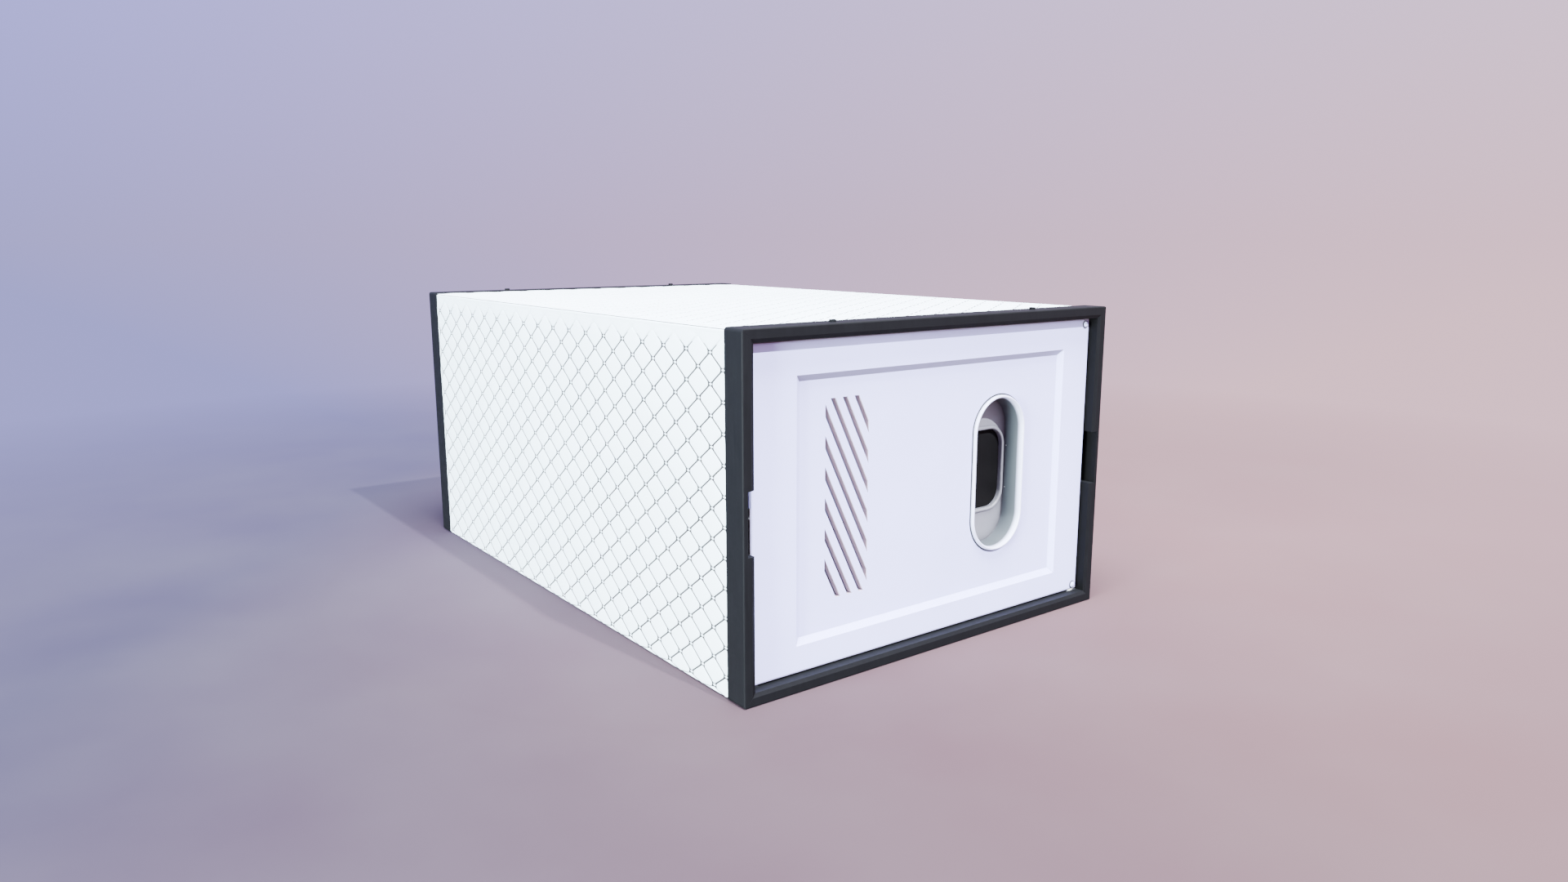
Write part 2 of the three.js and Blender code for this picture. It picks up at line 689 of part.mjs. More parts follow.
function hingePlate(isTop, gap) {
  const x0 = HINGE_X - HINGE_PLATE_LENGTH / 2 + gap;
  const x1 = HINGE_X + HINGE_PLATE_LENGTH / 2 - gap;
  const y0 = PIVOT_LINE - HINGE_PLATE_WIDTH / 2 + gap;
  const y1 = PIVOT_LINE + HINGE_PLATE_WIDTH / 2 - gap;
  const face = isTop ? HEIGHT - FRAME_BAND : FRAME_BAND;
  const into = isTop ? HINGE_PLATE_THICKNESS - gap : gap - HINGE_PLATE_THICKNESS;
  const outside = (isTop ? -1 : 1) * (gap > 0 ? 0 : CUT_MARGIN);
  const z0 = Math.min(face + into, face + outside);
  const z1 = Math.max(face + into, face + outside);
  return block(x0, x1, y0, y1, z0, z1);
}

// Plate let into the rail, with the pivot pin that reaches into the door.
function hingePivot(isTop) {
  const face = isTop ? HEIGHT - FRAME_BAND : FRAME_BAND;
  const length = PANEL_GAP_RAIL + HINGE_PIN_ENGAGEMENT - FIT_GAP;
  const foot = isTop ? face - length : face - CUT_MARGIN;
  const pin = roundBar(
    'z',
    HINGE_PIN,
    { x: HINGE_X, y: PIVOT_LINE, z: foot },
    length + CUT_MARGIN,
    2 * ROUND_SIDES,
  );
  return join([hingePlate(isTop, FIT_GAP), pin]);
}

function thrustWasher() {
  const outer = new THREE.Shape();
  outer.absarc(HINGE_X, 0, THRUST_WASHER / 2, 0, 2 * HALF_TURN, false);
  const hole = new THREE.Path();
  hole.absarc(HINGE_X, 0, HINGE_PIN / 2 + FIT_GAP, 0, 2 * HALF_TURN, false);
  outer.holes.push(hole);
  const washer = new THREE.ExtrudeGeometry(outer, {
    depth: PANEL_GAP_RAIL - 2 * FIT_GAP,
    bevelEnabled: false,
    curveSegments: 2 * ROUND_SIDES,
  });
  return washer.translate(0, PIVOT_LINE, FRAME_BAND + FIT_GAP);
}

// ---------------------------------------------------------------- brackets and stops

// Angle bracket: one leg flat on a post, the other behind the panel.
function panelBracket(z, leg, panelGap) {
  const post = -SIDE + FRAME_BAND + FIT_GAP;
  const face = PANEL_REAR + panelGap;
  const side = block(post, post + BRACKET_THICKNESS, face, face + BRACKET_SIDE, 0, BRACKET_HEIGHT);
  const back = block(post, post + leg, face, face + BRACKET_THICKNESS, 0, BRACKET_HEIGHT);
  return join([side, back]).translate(0, 0, z - BRACKET_HEIGHT / 2);
}

// A right-hand bracket is a left-hand one turned over, so it starts at the mirrored height.
function rearBracket(isHingeSide, isTop) {
  const place = capPlace(isHingeSide, isTop);
  const level = isHingeSide ? HEIGHT - place.z : place.z;
  const left = panelBracket(level, BRACKET_LEG, FIT_GAP);
  const placed = isHingeSide ? turnedOver(left) : left;
  return turnedToRear(cut(placed, [bracketHole(place)]));
}

function bracketHole(place) {
  const start = { x: place.x, y: PANEL_REAR - CUT_MARGIN, z: place.z };
  const length = FIT_GAP + BRACKET_THICKNESS + 2 * CUT_MARGIN;
  return roundBar('y', CAP_SHANK + 2 * BOLT_CLEARANCE, start, length);
}

// ---------------------------------------------------------------- feed port

const PORT_BORE = { halfWidth: PORT_HALF_WIDTH, halfHeight: PORT_HALF_HEIGHT, round: PORT_HALF_WIDTH };
const MOUTH = { halfWidth: MOUTH_HALF_WIDTH, halfHeight: MOUTH_HALF_HEIGHT, round: MOUTH_ROUND };

function portOutline(size, Kind = THREE.Shape) {
  const draw = size.round < size.halfWidth ? roundedPlate : stadium;
  return draw(PORT_X, PORT_CENTRE_HEIGHT, size, Kind);
}

function portRing(inner, outer) {
  const outline = portOutline(outer);
  outline.holes.push(portOutline(inner, THREE.Path));
  return outline;
}

function feedCollar() {
  const tubeOutline = portRing(PORT_BORE, grown(PORT_BORE, PORT_WALL));
  const tube = plateAlongY(tubeOutline, PORT_FRONT + PORT_RIM_ROUND, PORT_END);
  const rimOutline = portRing(PORT_BORE, grown(PORT_BORE, PORT_RIM));
  const rim = plateAlongY(rimOutline, PORT_FRONT, FIELD_FACE - FIT_GAP, PORT_RIM_ROUND);
  return cut(join([tube, rim]), plateScrews(PLATE_SCREW_SHANK / 2 + FIT_GAP));
}

function portCutOut() {
  const outline = portOutline(grown(PORT_BORE, PORT_WALL + PORT_CLEARANCE));
  return plateAlongY(outline, PANEL_FRONT - CUT_MARGIN, PANEL_REAR + CUT_MARGIN);
}

function clampRing() {
  const inner = grown(PORT_BORE, PORT_WALL + FIT_GAP);
  const outline = portRing(inner, grown(inner, CLAMP_RING_WIDTH));
  const front = PANEL_REAR + FIT_GAP;
  return plateAlongY(outline, front, front + CLAMP_RING_THICKNESS);
}

// Shank positions of the four screws that hold the back plate on the collar.
function plateScrews(radius) {
  const shanks = [];
  for (const side of [-1, 1]) {
    for (const level of [-1, 1]) {
      shanks.push(plateScrewShank(side, level, 2 * radius, CUT_MARGIN));
    }
  }
  return shanks;
}

function plateScrewShank(side, level, diameter, extra) {
  const inner = PORT_HALF_WIDTH + FIT_GAP - extra;
  const outer = PORT_HALF_WIDTH + PORT_WALL + FIT_GAP + BACK_SKIRT_WALL + extra;
  const start = {
    x: side > 0 ? PORT_X + inner : PORT_X - outer,
    y: PORT_END - BACK_SKIRT / 2,
    z: PORT_CENTRE_HEIGHT + level * PLATE_SCREW_SPREAD / 2,
  };
  return roundBar('x', diameter, start, outer - inner);
}

function plateScrew(side, level) {
  const shank = plateScrewShank(side, level, PLATE_SCREW_SHANK, PLATE_SCREW_STAND_IN);
  const seat = PORT_HALF_WIDTH + PORT_WALL + FIT_GAP + BACK_SKIRT_WALL + FIT_GAP;
  const start = {
    x: side > 0 ? PORT_X + seat : PORT_X - seat - PLATE_SCREW_HEAD_HEIGHT,
    y: PORT_END - BACK_SKIRT / 2,
    z: PORT_CENTRE_HEIGHT + level * PLATE_SCREW_SPREAD / 2,
  };
  return join([shank, roundBar('x', PLATE_SCREW_HEAD, start, PLATE_SCREW_HEAD_HEIGHT)]);
}

function backPlate() {
  const skirtInner = grown(PORT_BORE, PORT_WALL + FIT_GAP);
  const skirtOuter = grown(skirtInner, BACK_SKIRT_WALL);
  const plate = plateAlongY(portRing(MOUTH, skirtOuter), PLATE_FACE, PLATE_REAR);
  const skirtOutline = portRing(skirtInner, skirtOuter);
  const skirt = plateAlongY(skirtOutline, PORT_END - BACK_SKIRT, PLATE_FACE + CUT_MARGIN);
  const ringOutline = portRing(MOUTH, grown(MOUTH, MOUTH_RING_WIDTH));
  const ringFront = PLATE_FACE - MOUTH_RING_STAND_OUT;
  const ringRound = MOUTH_RING_STAND_OUT - CUT_MARGIN;
  const ring = plateAlongY(ringOutline, ringFront, PLATE_REAR - CUT_MARGIN, ringRound);
  const seatOutline = portRing(MOUTH, grown(MOUTH, FLAP_SEAT_WIDTH));
  const seat = plateAlongY(seatOutline, PLATE_REAR - CUT_MARGIN, PLATE_REAR + FLAP_SEAT_HEIGHT);
  const body = join([plate, skirt, ring, seat, ...hingeEars()]);
  const screwHoles = plateScrews(PLATE_SCREW_SHANK / 2 + FIT_GAP);
  return cut(body, [flapPinBar(FLAP_PIN / 2 + FIT_GAP), ...screwHoles]);
}

// ---------------------------------------------------------------- swing flap

function flapHalfWidth() {
  return MOUTH_HALF_WIDTH + FLAP_OVERLAP;
}

function hingeEars() {
  return [-1, 1].map((side) => {
    const inner = flapHalfWidth() + EAR_SIDE_GAP;
    const x0 = side > 0 ? PORT_X + inner : PORT_X - inner - EAR_THICKNESS;
    const rear = FLAP_FACE + FLAP_BARREL / 2 + EAR_BEHIND_BARREL;
    const z0 = FLAP_PIN_Z - EAR_HEIGHT / 2;
    return block(x0, x0 + EAR_THICKNESS, PLATE_REAR - CUT_MARGIN, rear, z0, z0 + EAR_HEIGHT);
  });
}

function flapPinBar(radius) {
  const half = flapHalfWidth() + EAR_SIDE_GAP + EAR_THICKNESS + FLAP_PIN_STAND_OUT;
  const start = { x: PORT_X - half, y: FLAP_FACE, z: FLAP_PIN_Z };
  return roundBar('x', 2 * radius, start, 2 * half, 2 * ROUND_SIDES);
}

// The leaf hangs a little behind its pin, so its own weight keeps it on the seat round the mouth.
function feedFlap() {
  const half = flapHalfWidth();
  const round = MOUTH_ROUND + FLAP_OVERLAP;
  const roundZ = PORT_CENTRE_HEIGHT - MOUTH_HALF_HEIGHT - FLAP_OVERLAP + round;
  const outline = new THREE.Shape();
  outline.moveTo(PORT_X + half, FLAP_PIN_Z);
  outline.lineTo(PORT_X - half, FLAP_PIN_Z);
  outline.absarc(PORT_X - half + round, roundZ, round, HALF_TURN, THREE_QUARTERS, false);
  outline.absarc(PORT_X + half - round, roundZ, round, THREE_QUARTERS, 2 * HALF_TURN, false);
  outline.closePath();
  const leaf = plateAlongY(outline, FLAP_FACE, FLAP_FACE + FLAP_THICKNESS);
  const start = { x: PORT_X - half, y: FLAP_FACE, z: FLAP_PIN_Z };
  const barrel = roundBar('x', FLAP_BARREL, start, 2 * half, 2 * ROUND_SIDES);
  return cut(join([leaf, barrel]), [flapPinBar(FLAP_PIN / 2 + FLAP_PIN_RUNNING_GAP)]);
}

// ---------------------------------------------------------------- flush bolt

function boltChannel() {
  const x1 = PANEL_FREE_EDGE + CHANNEL_DEPTH;
  const half = CHANNEL_WIDTH / 2;
  return block(
    PANEL_FREE_EDGE - CUT_MARGIN,
    x1,
    PIVOT_LINE - half,
    PIVOT_LINE + half,
    PANEL_BOTTOM - CUT_MARGIN,
    ROD_TOP + CHANNEL_ABOVE_ROD,
  );
}

function faceplateRebate() {
  const half = FACEPLATE_WIDTH / 2 + FIT_GAP;
  return block(
    PANEL_FREE_EDGE - CUT_MARGIN,
    PANEL_FREE_EDGE + FACEPLATE_THICKNESS + FIT_GAP,
    PIVOT_LINE - half,
    PIVOT_LINE + half,
    PANEL_BOTTOM - CUT_MARGIN,
    FACEPLATE_TOP + FIT_GAP,
  );
}

function boltFaceplate() {
  const half = FACEPLATE_WIDTH / 2;
  const x0 = PANEL_FREE_EDGE;
  const x1 = PANEL_FREE_EDGE + FACEPLATE_THICKNESS;
  const strip = block(x0, x1, PIVOT_LINE - half, PIVOT_LINE + half, PANEL_BOTTOM, FACEPLATE_TOP);
  const slotHalf = KNOB_STEM / 2 + FIT_GAP;
  const slot = block(
    x0 - CUT_MARGIN,
    x1 + CUT_MARGIN,
    PIVOT_LINE - slotHalf,
    PIVOT_LINE + slotHalf,
    KNOB_HEIGHT - ROD_TRAVEL - slotHalf,
    KNOB_HEIGHT + slotHalf,
  );
  return cut(strip, [slot]);
}

function boltRod() {
  const foot = FRAME_BAND + ROD_END_GAP;
  const rod = roundBar('z', ROD_DIAMETER, { x: ROD_X, y: PIVOT_LINE, z: foot }, ROD_TOP - foot);
  const tip = PANEL_FREE_EDGE - KNOB_STAND_OUT;
  const place = { x: tip, y: PIVOT_LINE, z: KNOB_HEIGHT };
  const stem = roundBar('x', KNOB_STEM, place, ROD_X - tip);
  const knob = roundBar('x', KNOB_DIAMETER, place, KNOB_LENGTH);
  return join([rod, stem, knob]);
}

function keeperPlate(gap) {
  const outside = gap > 0 ? 0 : CUT_MARGIN;
  const halfLength = KEEPER_LENGTH / 2 - gap;
  const halfWidth = KEEPER_WIDTH / 2 - gap;
  return block(
    ROD_X - halfLength,
    ROD_X + halfLength,
    PIVOT_LINE - halfWidth,
    PIVOT_LINE + halfWidth,
    FRAME_BAND - KEEPER_THICKNESS + gap,
    FRAME_BAND + outside,
  );
}

function keeperBore() {
  const depth = ROD_TRAVEL + ROD_END_GAP;
  const foot = { x: ROD_X, y: PIVOT_LINE, z: FRAME_BAND - depth };
  return roundBar('z', ROD_DIAMETER + 2 * KEEPER_BORE_GAP, foot, depth + CUT_MARGIN);
}

// ---------------------------------------------------------------- door

function doorPanel() {
  const waste = [
    fieldWaste(),
    ...ventWaste(),
    portCutOut(),
    boltChannel(),
    faceplateRebate(),
    insertBlock(true, 0),
    insertBlock(false, 0),
    capHole(capPlace(true, true)),
    capHole(capPlace(true, false)),
  ];
  return cut(panelBlank(), waste);
}

// ---------------------------------------------------------------- assembly

function addRingFrames(group) {
  const post = leftPost();
  const otherPost = turnedOver(post);
  group.add(named('front_left_post', post, charcoalPlastic()));
  group.add(named('front_right_post', otherPost, charcoalPlastic()));
  group.add(named('rear_left_post', turnedToRear(otherPost), charcoalPlastic()));
  group.add(named('rear_right_post', turnedToRear(post), charcoalPlastic()));
  group.add(named('front_top_rail', topRail([hingePlate(true, 0)]), charcoalPlastic()));
  const sillFittings = [hingePlate(false, 0), keeperPlate(0), keeperBore()];
  group.add(named('front_bottom_rail', bottomRail(sillFittings), charcoalPlastic()));
  group.add(named('rear_top_rail', turnedToRear(topRail([])), charcoalPlastic()));
  group.add(named('rear_bottom_rail', turnedToRear(bottomRail([])), charcoalPlastic()));
  cornerKeys().forEach((key, i) => {
    group.add(named(`front_corner_key_${i + 1}`, key, mattAluminium()));
    group.add(named(`rear_corner_key_${i + 1}`, turnedToRear(key), mattAluminium()));
  });
  [-1, 1].forEach((side, i) => {
    group.add(named(`front_roof_bolt_${i + 1}`, frameBolt(side), charcoalPlastic()));
    group.add(named(`rear_roof_bolt_${i + 1}`, turnedToRear(frameBolt(side)), charcoalPlastic()));
  });
}

function addShell(group) {
  group.add(named('left_wall', leftWall(), whitePlastic()));
  group.add(named('right_wall', turnedToRear(leftWall()), whitePlastic()));
  group.add(named('roof_panel', roofPanel(), whitePlastic()));
  group.add(named('left_eave_angle', leftEaveAngle(), mattAluminium()));
  group.add(named('right_eave_angle', turnedToRear(leftEaveAngle()), mattAluminium()));
}

function addRearPanel(group) {
  group.add(named('rear_panel', rearPanel(), whitePlastic()));
  const shank = PANEL_THICKNESS + 2 * FIT_GAP + BRACKET_THICKNESS;
  let number = 1;
  for (const isHingeSide of [true, false]) {
    for (const isTop of [true, false]) {
      const bolt = turnedToRear(capBolt(capPlace(isHingeSide, isTop), shank));
      group.add(named(`rear_panel_bolt_${number}`, bolt, whitePlastic()));
      group.add(named(`rear_panel_bracket_${number}`, rearBracket(isHingeSide, isTop), zincSteel()));
      number += 1;
    }
  }
}

function addDoorFittings(group) {
  group.add(named('upper_hinge_pivot', hingePivot(true), zincSteel()));
  group.add(named('lower_hinge_pivot', hingePivot(false), zincSteel()));
  group.add(named('hinge_thrust_washer', thrustWasher(), naturalNylon()));
  const upperStop = panelBracket(HEIGHT - STOP_FROM_END, STOP_LEG, STOP_GAP);
  const lowerStop = panelBracket(STOP_FROM_END, STOP_LEG, STOP_GAP);
  group.add(named('upper_door_stop', upperStop, zincSteel()));
  group.add(named('lower_door_stop', lowerStop, zincSteel()));
  group.add(named('flush_bolt_keeper', cut(keeperPlate(FIT_GAP), [keeperBore()]), zincSteel()));
}

function addDoor(group) {
  group.add(named('door_panel', doorPanel(), whitePlastic()));
  group.add(named('upper_hinge_insert', hingeInsert(true), naturalNylon()));
  group.add(named('lower_hinge_insert', hingeInsert(false), naturalNylon()));
  const shank = HINGE_BEHIND_FACE + INSERT_DEPTH / 2 - FIT_GAP;
  group.add(named('upper_hinge_bolt', capBolt(capPlace(true, true), shank), whitePlastic()));
  group.add(named('lower_hinge_bolt', capBolt(capPlace(true, false), shank), whitePlastic()));
  group.add(named('flush_bolt_faceplate', boltFaceplate(), zincSteel()));
  group.add(named('flush_bolt_rod', boltRod(), zincSteel()));
}

function addFeedPort(group) {
  group.add(named('feed_collar', feedCollar(), whitePlastic()));
  group.add(named('feed_collar_clamp_ring', clampRing(), whitePlastic()));
  group.add(named('feed_back_plate', backPlate(), whitePlastic()));
  group.add(named('feed_flap', feedFlap(), blackRubber()));
  group.add(named('flap_hinge_pin', flapPinBar(FLAP_PIN / 2), zincSteel()));
  let number = 1;
  for (const side of [-1, 1]) {
    for (const level of [-1, 1]) {
      group.add(named(`back_plate_screw_${number}`, plateScrew(side, level), zincSteel()));
      number += 1;
    }
  }
}

const hutch = new THREE.Group();
addRingFrames(hutch);
addShell(hutch);
addRearPanel(hutch);
addDoorFittings(hutch);
addDoor(hutch);
addFeedPort(hutch);

export default hutch;
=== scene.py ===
"""Looks of the calf hutch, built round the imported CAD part. Metres, in the CAD frame."""

import json
import math

import bmesh
import bpy
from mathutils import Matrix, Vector


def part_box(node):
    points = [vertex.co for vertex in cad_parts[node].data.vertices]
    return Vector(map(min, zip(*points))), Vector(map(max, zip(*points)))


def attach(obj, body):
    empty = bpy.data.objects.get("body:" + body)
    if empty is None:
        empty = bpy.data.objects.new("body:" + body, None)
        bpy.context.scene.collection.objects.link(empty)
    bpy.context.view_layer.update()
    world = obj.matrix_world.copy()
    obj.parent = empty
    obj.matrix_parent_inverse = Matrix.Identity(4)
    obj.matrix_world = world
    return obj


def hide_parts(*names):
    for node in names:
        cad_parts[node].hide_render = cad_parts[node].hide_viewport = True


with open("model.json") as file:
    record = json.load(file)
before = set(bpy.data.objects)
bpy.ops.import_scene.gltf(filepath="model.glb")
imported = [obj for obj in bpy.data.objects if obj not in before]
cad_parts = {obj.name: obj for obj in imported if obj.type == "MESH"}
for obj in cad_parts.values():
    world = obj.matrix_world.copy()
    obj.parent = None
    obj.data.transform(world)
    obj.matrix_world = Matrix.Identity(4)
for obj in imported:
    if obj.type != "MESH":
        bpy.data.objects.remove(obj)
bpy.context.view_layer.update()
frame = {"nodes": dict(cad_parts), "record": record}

MM = 0.001

# ---------------------------------------------------------------- sizes read from the CAD nodes

_, post_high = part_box("front_left_post")
wall_low, wall_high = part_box("left_wall")
roof_low, roof_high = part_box("roof_panel")
collar_low, collar_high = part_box("feed_collar")
plate_low, plate_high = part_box("feed_back_plate")
_, door_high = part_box("door_panel")
_, flap_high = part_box("feed_flap")
pin_low, pin_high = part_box("flap_hinge_pin")
port_centre = ((collar_low.x + collar_high.x) / 2, (collar_low.z + collar_high.z) / 2)
# the door's recessed field lies this far behind the front of the port's bead
FIELD_DEPTH = 12 * MM
field_y = collar_low.y + FIELD_DEPTH


# ---------------------------------------------------------------- materials


class Finish:
    """A procedural material, built up one node at a time."""

    def __init__(self, name):
        self.material = bpy.data.materials.new(name)
        self.material.use_nodes = True
        self.tree = self.material.node_tree
        self.shader = self.tree.nodes["Principled BSDF"]
        source = self.add("ShaderNodeTexCoord")
        self.coords = source.outputs["Object"]
        self.facing = source.outputs["Normal"]

    def add(self, kind, **settings):
        node = self.tree.nodes.new(kind)
        for key, value in settings.items():
            setattr(node, key, value)
        return node

    def link(self, source, target):
        self.tree.links.new(source, target)

    def axis(self, vector, name):
        split = self.add("ShaderNodeSeparateXYZ")
        self.link(vector, split.inputs[0])
        return split.outputs[name]

    def noise(self, scale, detail=4.0, rough=0.5, stretch=(1, 1, 1), distortion=0.0):
        mapping = self.add("ShaderNodeMapping")
        mapping.inputs["Scale"].default_value = stretch
        self.link(self.coords, mapping.inputs["Vector"])
        node = self.add("ShaderNodeTexNoise")
        node.inputs["Scale"].default_value = scale
        node.inputs["Detail"].default_value = detail
        node.inputs["Roughness"].default_value = rough
        node.inputs["Distortion"].default_value = distortion
        self.link(mapping.outputs["Vector"], node.inputs["Vector"])
        return node.outputs["Fac"]

    def spread(self, value, low, high, to_low=0.0, to_high=1.0):
        node = self.add("ShaderNodeMapRange")
        node.inputs["From Min"].default_value = low
        node.inputs["From Max"].default_value = high
        node.inputs["To Min"].default_value = to_low
        node.inputs["To Max"].default_value = to_high
        self.link(value, node.inputs["Value"])
        return node.outputs["Result"]

    def mix(self, factor, first, second, blend="MIX"):
        node = self.add("ShaderNodeMix", data_type="RGBA", blend_type=blend)
        if hasattr(factor, "links"):
            self.link(factor, node.inputs["Factor"])
        else:
            node.inputs["Factor"].default_value = factor
        for value, socket in ((first, node.inputs[6]), (second, node.inputs[7])):
            if hasattr(value, "links"):
                self.link(value, socket)
            else:
                socket.default_value = (*value, 1)
        return node.outputs[2]

    def maths(self, operation, first, second=0.0):
        node = self.add("ShaderNodeMath", operation=operation)
        for value, socket in ((first, node.inputs[0]), (second, node.inputs[1])):
            if hasattr(value, "links"):
                self.link(value, socket)
            else:
                socket.default_value = value
        return node.outputs[0]

    def edges(self, radius):
        """1 along convex and concave edges, 0 on flat faces."""
        bevel = self.add("ShaderNodeBevel", samples=6)
        bevel.inputs["Radius"].default_value = radius
        geometry = self.add("ShaderNodeNewGeometry")
        dot = self.add("ShaderNodeVectorMath", operation="DOT_PRODUCT")
        self.link(bevel.outputs["Normal"], dot.inputs[0])
        self.link(geometry.outputs["Normal"], dot.inputs[1])
        return self.spread(dot.outputs["Value"], 0.999, 0.93)

    def crevices(self, distance, clear=0.8, full=0.25):
        """1 deep in grooves and corners, 0 in the open."""
        node = self.add("ShaderNodeAmbientOcclusion", samples=8)
        node.inputs["Distance"].default_value = distance
        return self.spread(node.outputs["AO"], clear, full)

    def bumps(self, *layers):
        """Each layer is a height, its strength and its depth in metres."""
        normal = None
        for height, strength, depth in layers:
            bump = self.add("ShaderNodeBump")
            bump.inputs["Strength"].default_value = strength
            bump.inputs["Distance"].default_value = depth
            self.link(height, bump.inputs["Height"])
            if normal is not None:
                self.link(normal, bump.inputs["Normal"])
            normal = bump.outputs["Normal"]
        self.link(normal, self.shader.inputs["Normal"])

    def finish(self, color, roughness, metallic=0.0):
        self.link(color, self.shader.inputs["Base Color"])
        if hasattr(roughness, "links"):
            self.link(roughness, self.shader.inputs["Roughness"])
        else:
            self.shader.inputs["Roughness"].default_value = roughness
        self.shader.inputs["Metallic"].default_value = metallic
        return self.material


def white_plastic(name, base, groove, groove_depth, recess_shade=None, slots=None):
    """Polyethylene skin: faint clouding, orange peel, scuffs on edges and painted shade in corners and
    seams.

    recess_shade is a painted shade and the depths along Y over which the skin takes it on. slots is the
    painted shade of the cut faces between two depths; in front of them, faces that look down take a
    painted grey shade.
    """
    f = Finish(name)
    cloud = f.noise(2.5, 5, 0.55)
    peel = f.noise(260, 3, 0.6)
    wave = f.noise(9, 2, 0.4)
    scuff = f.maths("MULTIPLY", f.edges(3 * MM), f.spread(f.noise(60, 6, 0.7), 0.45, 0.65))
    dark = tuple(c * 0.93 for c in base)
    color = f.mix(f.spread(cloud, 0.35, 0.7), base, dark)
    # painted shade: deeper into a recess along Y the skin darkens
    if recess_shade:
        dull, start, finish = recess_shade
        color = f.mix(f.spread(f.axis(f.coords, "Y"), start, finish), color, dull)
    # painted shade: darker where ambient occlusion finds grooves and corners, and along narrow seams
    color = f.mix(f.maths("MULTIPLY", f.crevices(groove_depth), 0.9), color, groove)
    color = f.mix(f.maths("MULTIPLY", f.crevices(7 * MM, 0.92, 0.55), 0.7), color, SEAM_SHADE)
    # painted shade: on the slots' cut faces, and on faces that look down in front of them
    if slots:
        dull, start, finish = slots
        depth = f.axis(f.coords, "Y")
        past_start = f.spread(depth, start, start + 1.2 * MM)
        before_finish = f.spread(depth, finish, finish - MM)
        color = f.mix(f.maths("MULTIPLY", past_start, before_finish), color, dull)
        down = f.spread(f.axis(f.facing, "Z"), -0.2, -0.6)
        under = f.maths("MULTIPLY", down, f.spread(depth, start, start - MM))
        color = f.mix(f.maths("MULTIPLY", under, 0.75), color, UNDERSIDE_SHADE)
    color = f.mix(f.maths("MULTIPLY", scuff, 0.25), color, (0.62, 0.62, 0.64))
    rough = f.spread(f.noise(30, 6, 0.65), 0.3, 0.7, 0.34, 0.5)
    f.bumps((wave, 0.4, 0.6 * MM), (peel, 0.25, 0.15 * MM))
    return f.finish(color, rough)


def charcoal_plastic(name, base):
    """Dark satin plastic: fine grain, drawn streaks and edges rubbed paler."""
    f = Finish(name)
    grain = f.noise(900, 2, 0.5)
    streak = f.noise(14, 6, 0.6, stretch=(6, 6, 0.6))
    pale = tuple(c * 1.8 + 0.0015 for c in base)
    dusty = tuple(c * 1.2 + 0.0003 for c in base)
    color = f.mix(f.spread(streak, 0.35, 0.75), base, dusty)
    worn = f.maths("MULTIPLY", f.edges(1.5 * MM), f.spread(f.noise(45, 6, 0.7), 0.35, 0.6))
    color = f.mix(worn, color, pale)
    # painted shade: faces that look in X towards the hutch's middle, such as the posts' inner faces and
    # the backs of their notches, are painted near black
    inward = f.maths("MULTIPLY", f.axis(f.facing, "X"), f.axis(f.coords, "X"))
    color = f.mix(f.spread(inward, -0.25, -0.5), color, (0.0003, 0.0003, 0.0004))
    rough = f.spread(f.noise(24, 6, 0.6), 0.3, 0.7, 0.5, 0.68)
    f.bumps((streak, 0.2, 0.2 * MM), (grain, 0.35, 0.08 * MM))
    f.shader.inputs["Specular IOR Level"].default_value = 0.07
    return f.finish(color, rough)


def rubber(name):
    f = Finish(name)
    grain = f.noise(700, 4, 0.6)
    bloom = f.noise(8, 6, 0.6)
    color = f.mix(f.spread(bloom, 0.4, 0.75), (0.0022, 0.0022, 0.0022), (0.0042, 0.0042, 0.0042))
    f.bumps((grain, 0.5, 0.15 * MM))
    f.shader.inputs["Specular IOR Level"].default_value = 0.08
    return f.finish(color, f.spread(bloom, 0.3, 0.7, 0.6, 0.85))


def metal(name, base, rough_low, rough_high, stretch):
    f = Finish(name)
    drawn = f.noise(60, 6, 0.7, stretch=stretch)
    spangle = f.noise(220, 3, 0.5)
    dull = tuple(c * 0.72 for c in base)
    color = f.mix(f.spread(spangle, 0.4, 0.7), base, dull)
    # painted shade: darker in crevices, where ambient occlusion finds them
    color = f.mix(f.maths("MULTIPLY", f.crevices(4 * MM), 0.6), color, tuple(c * 0.35 for c in base))
    f.bumps((drawn, 0.25, 0.05 * MM))
    return f.finish(color, f.spread(drawn, 0.3, 0.7, rough_low, rough_high), 1.0)


def nylon(name):
    f = Finish(name)
    grain = f.noise(500, 3, 0.5)
    color = f.mix(f.spread(f.noise(20, 5, 0.6), 0.4, 0.7), (0.78, 0.77, 0.7), (0.68, 0.66, 0.58))
    f.bumps((grain, 0.3, 0.08 * MM))
    f.shader.inputs["Subsurface Weight"].default_value = 0.1
    return f.finish(color, f.spread(grain, 0.3, 0.7, 0.4, 0.55))


def groove_shade_skin(name):
    """Painted shade for the foot of the grooves, the seam round the port's bead and the caps' feet: a
    darkened, mottled skin.
    """
    f = Finish(name)
    patch = f.noise(7, 5, 0.6)
    color = f.mix(f.spread(patch, 0.35, 0.75), (0.008, 0.0095, 0.010), (0.026, 0.03, 0.032))
    f.bumps((f.noise(260, 3, 0.6), 0.3, 0.15 * MM))
    return f.finish(color, 0.6)
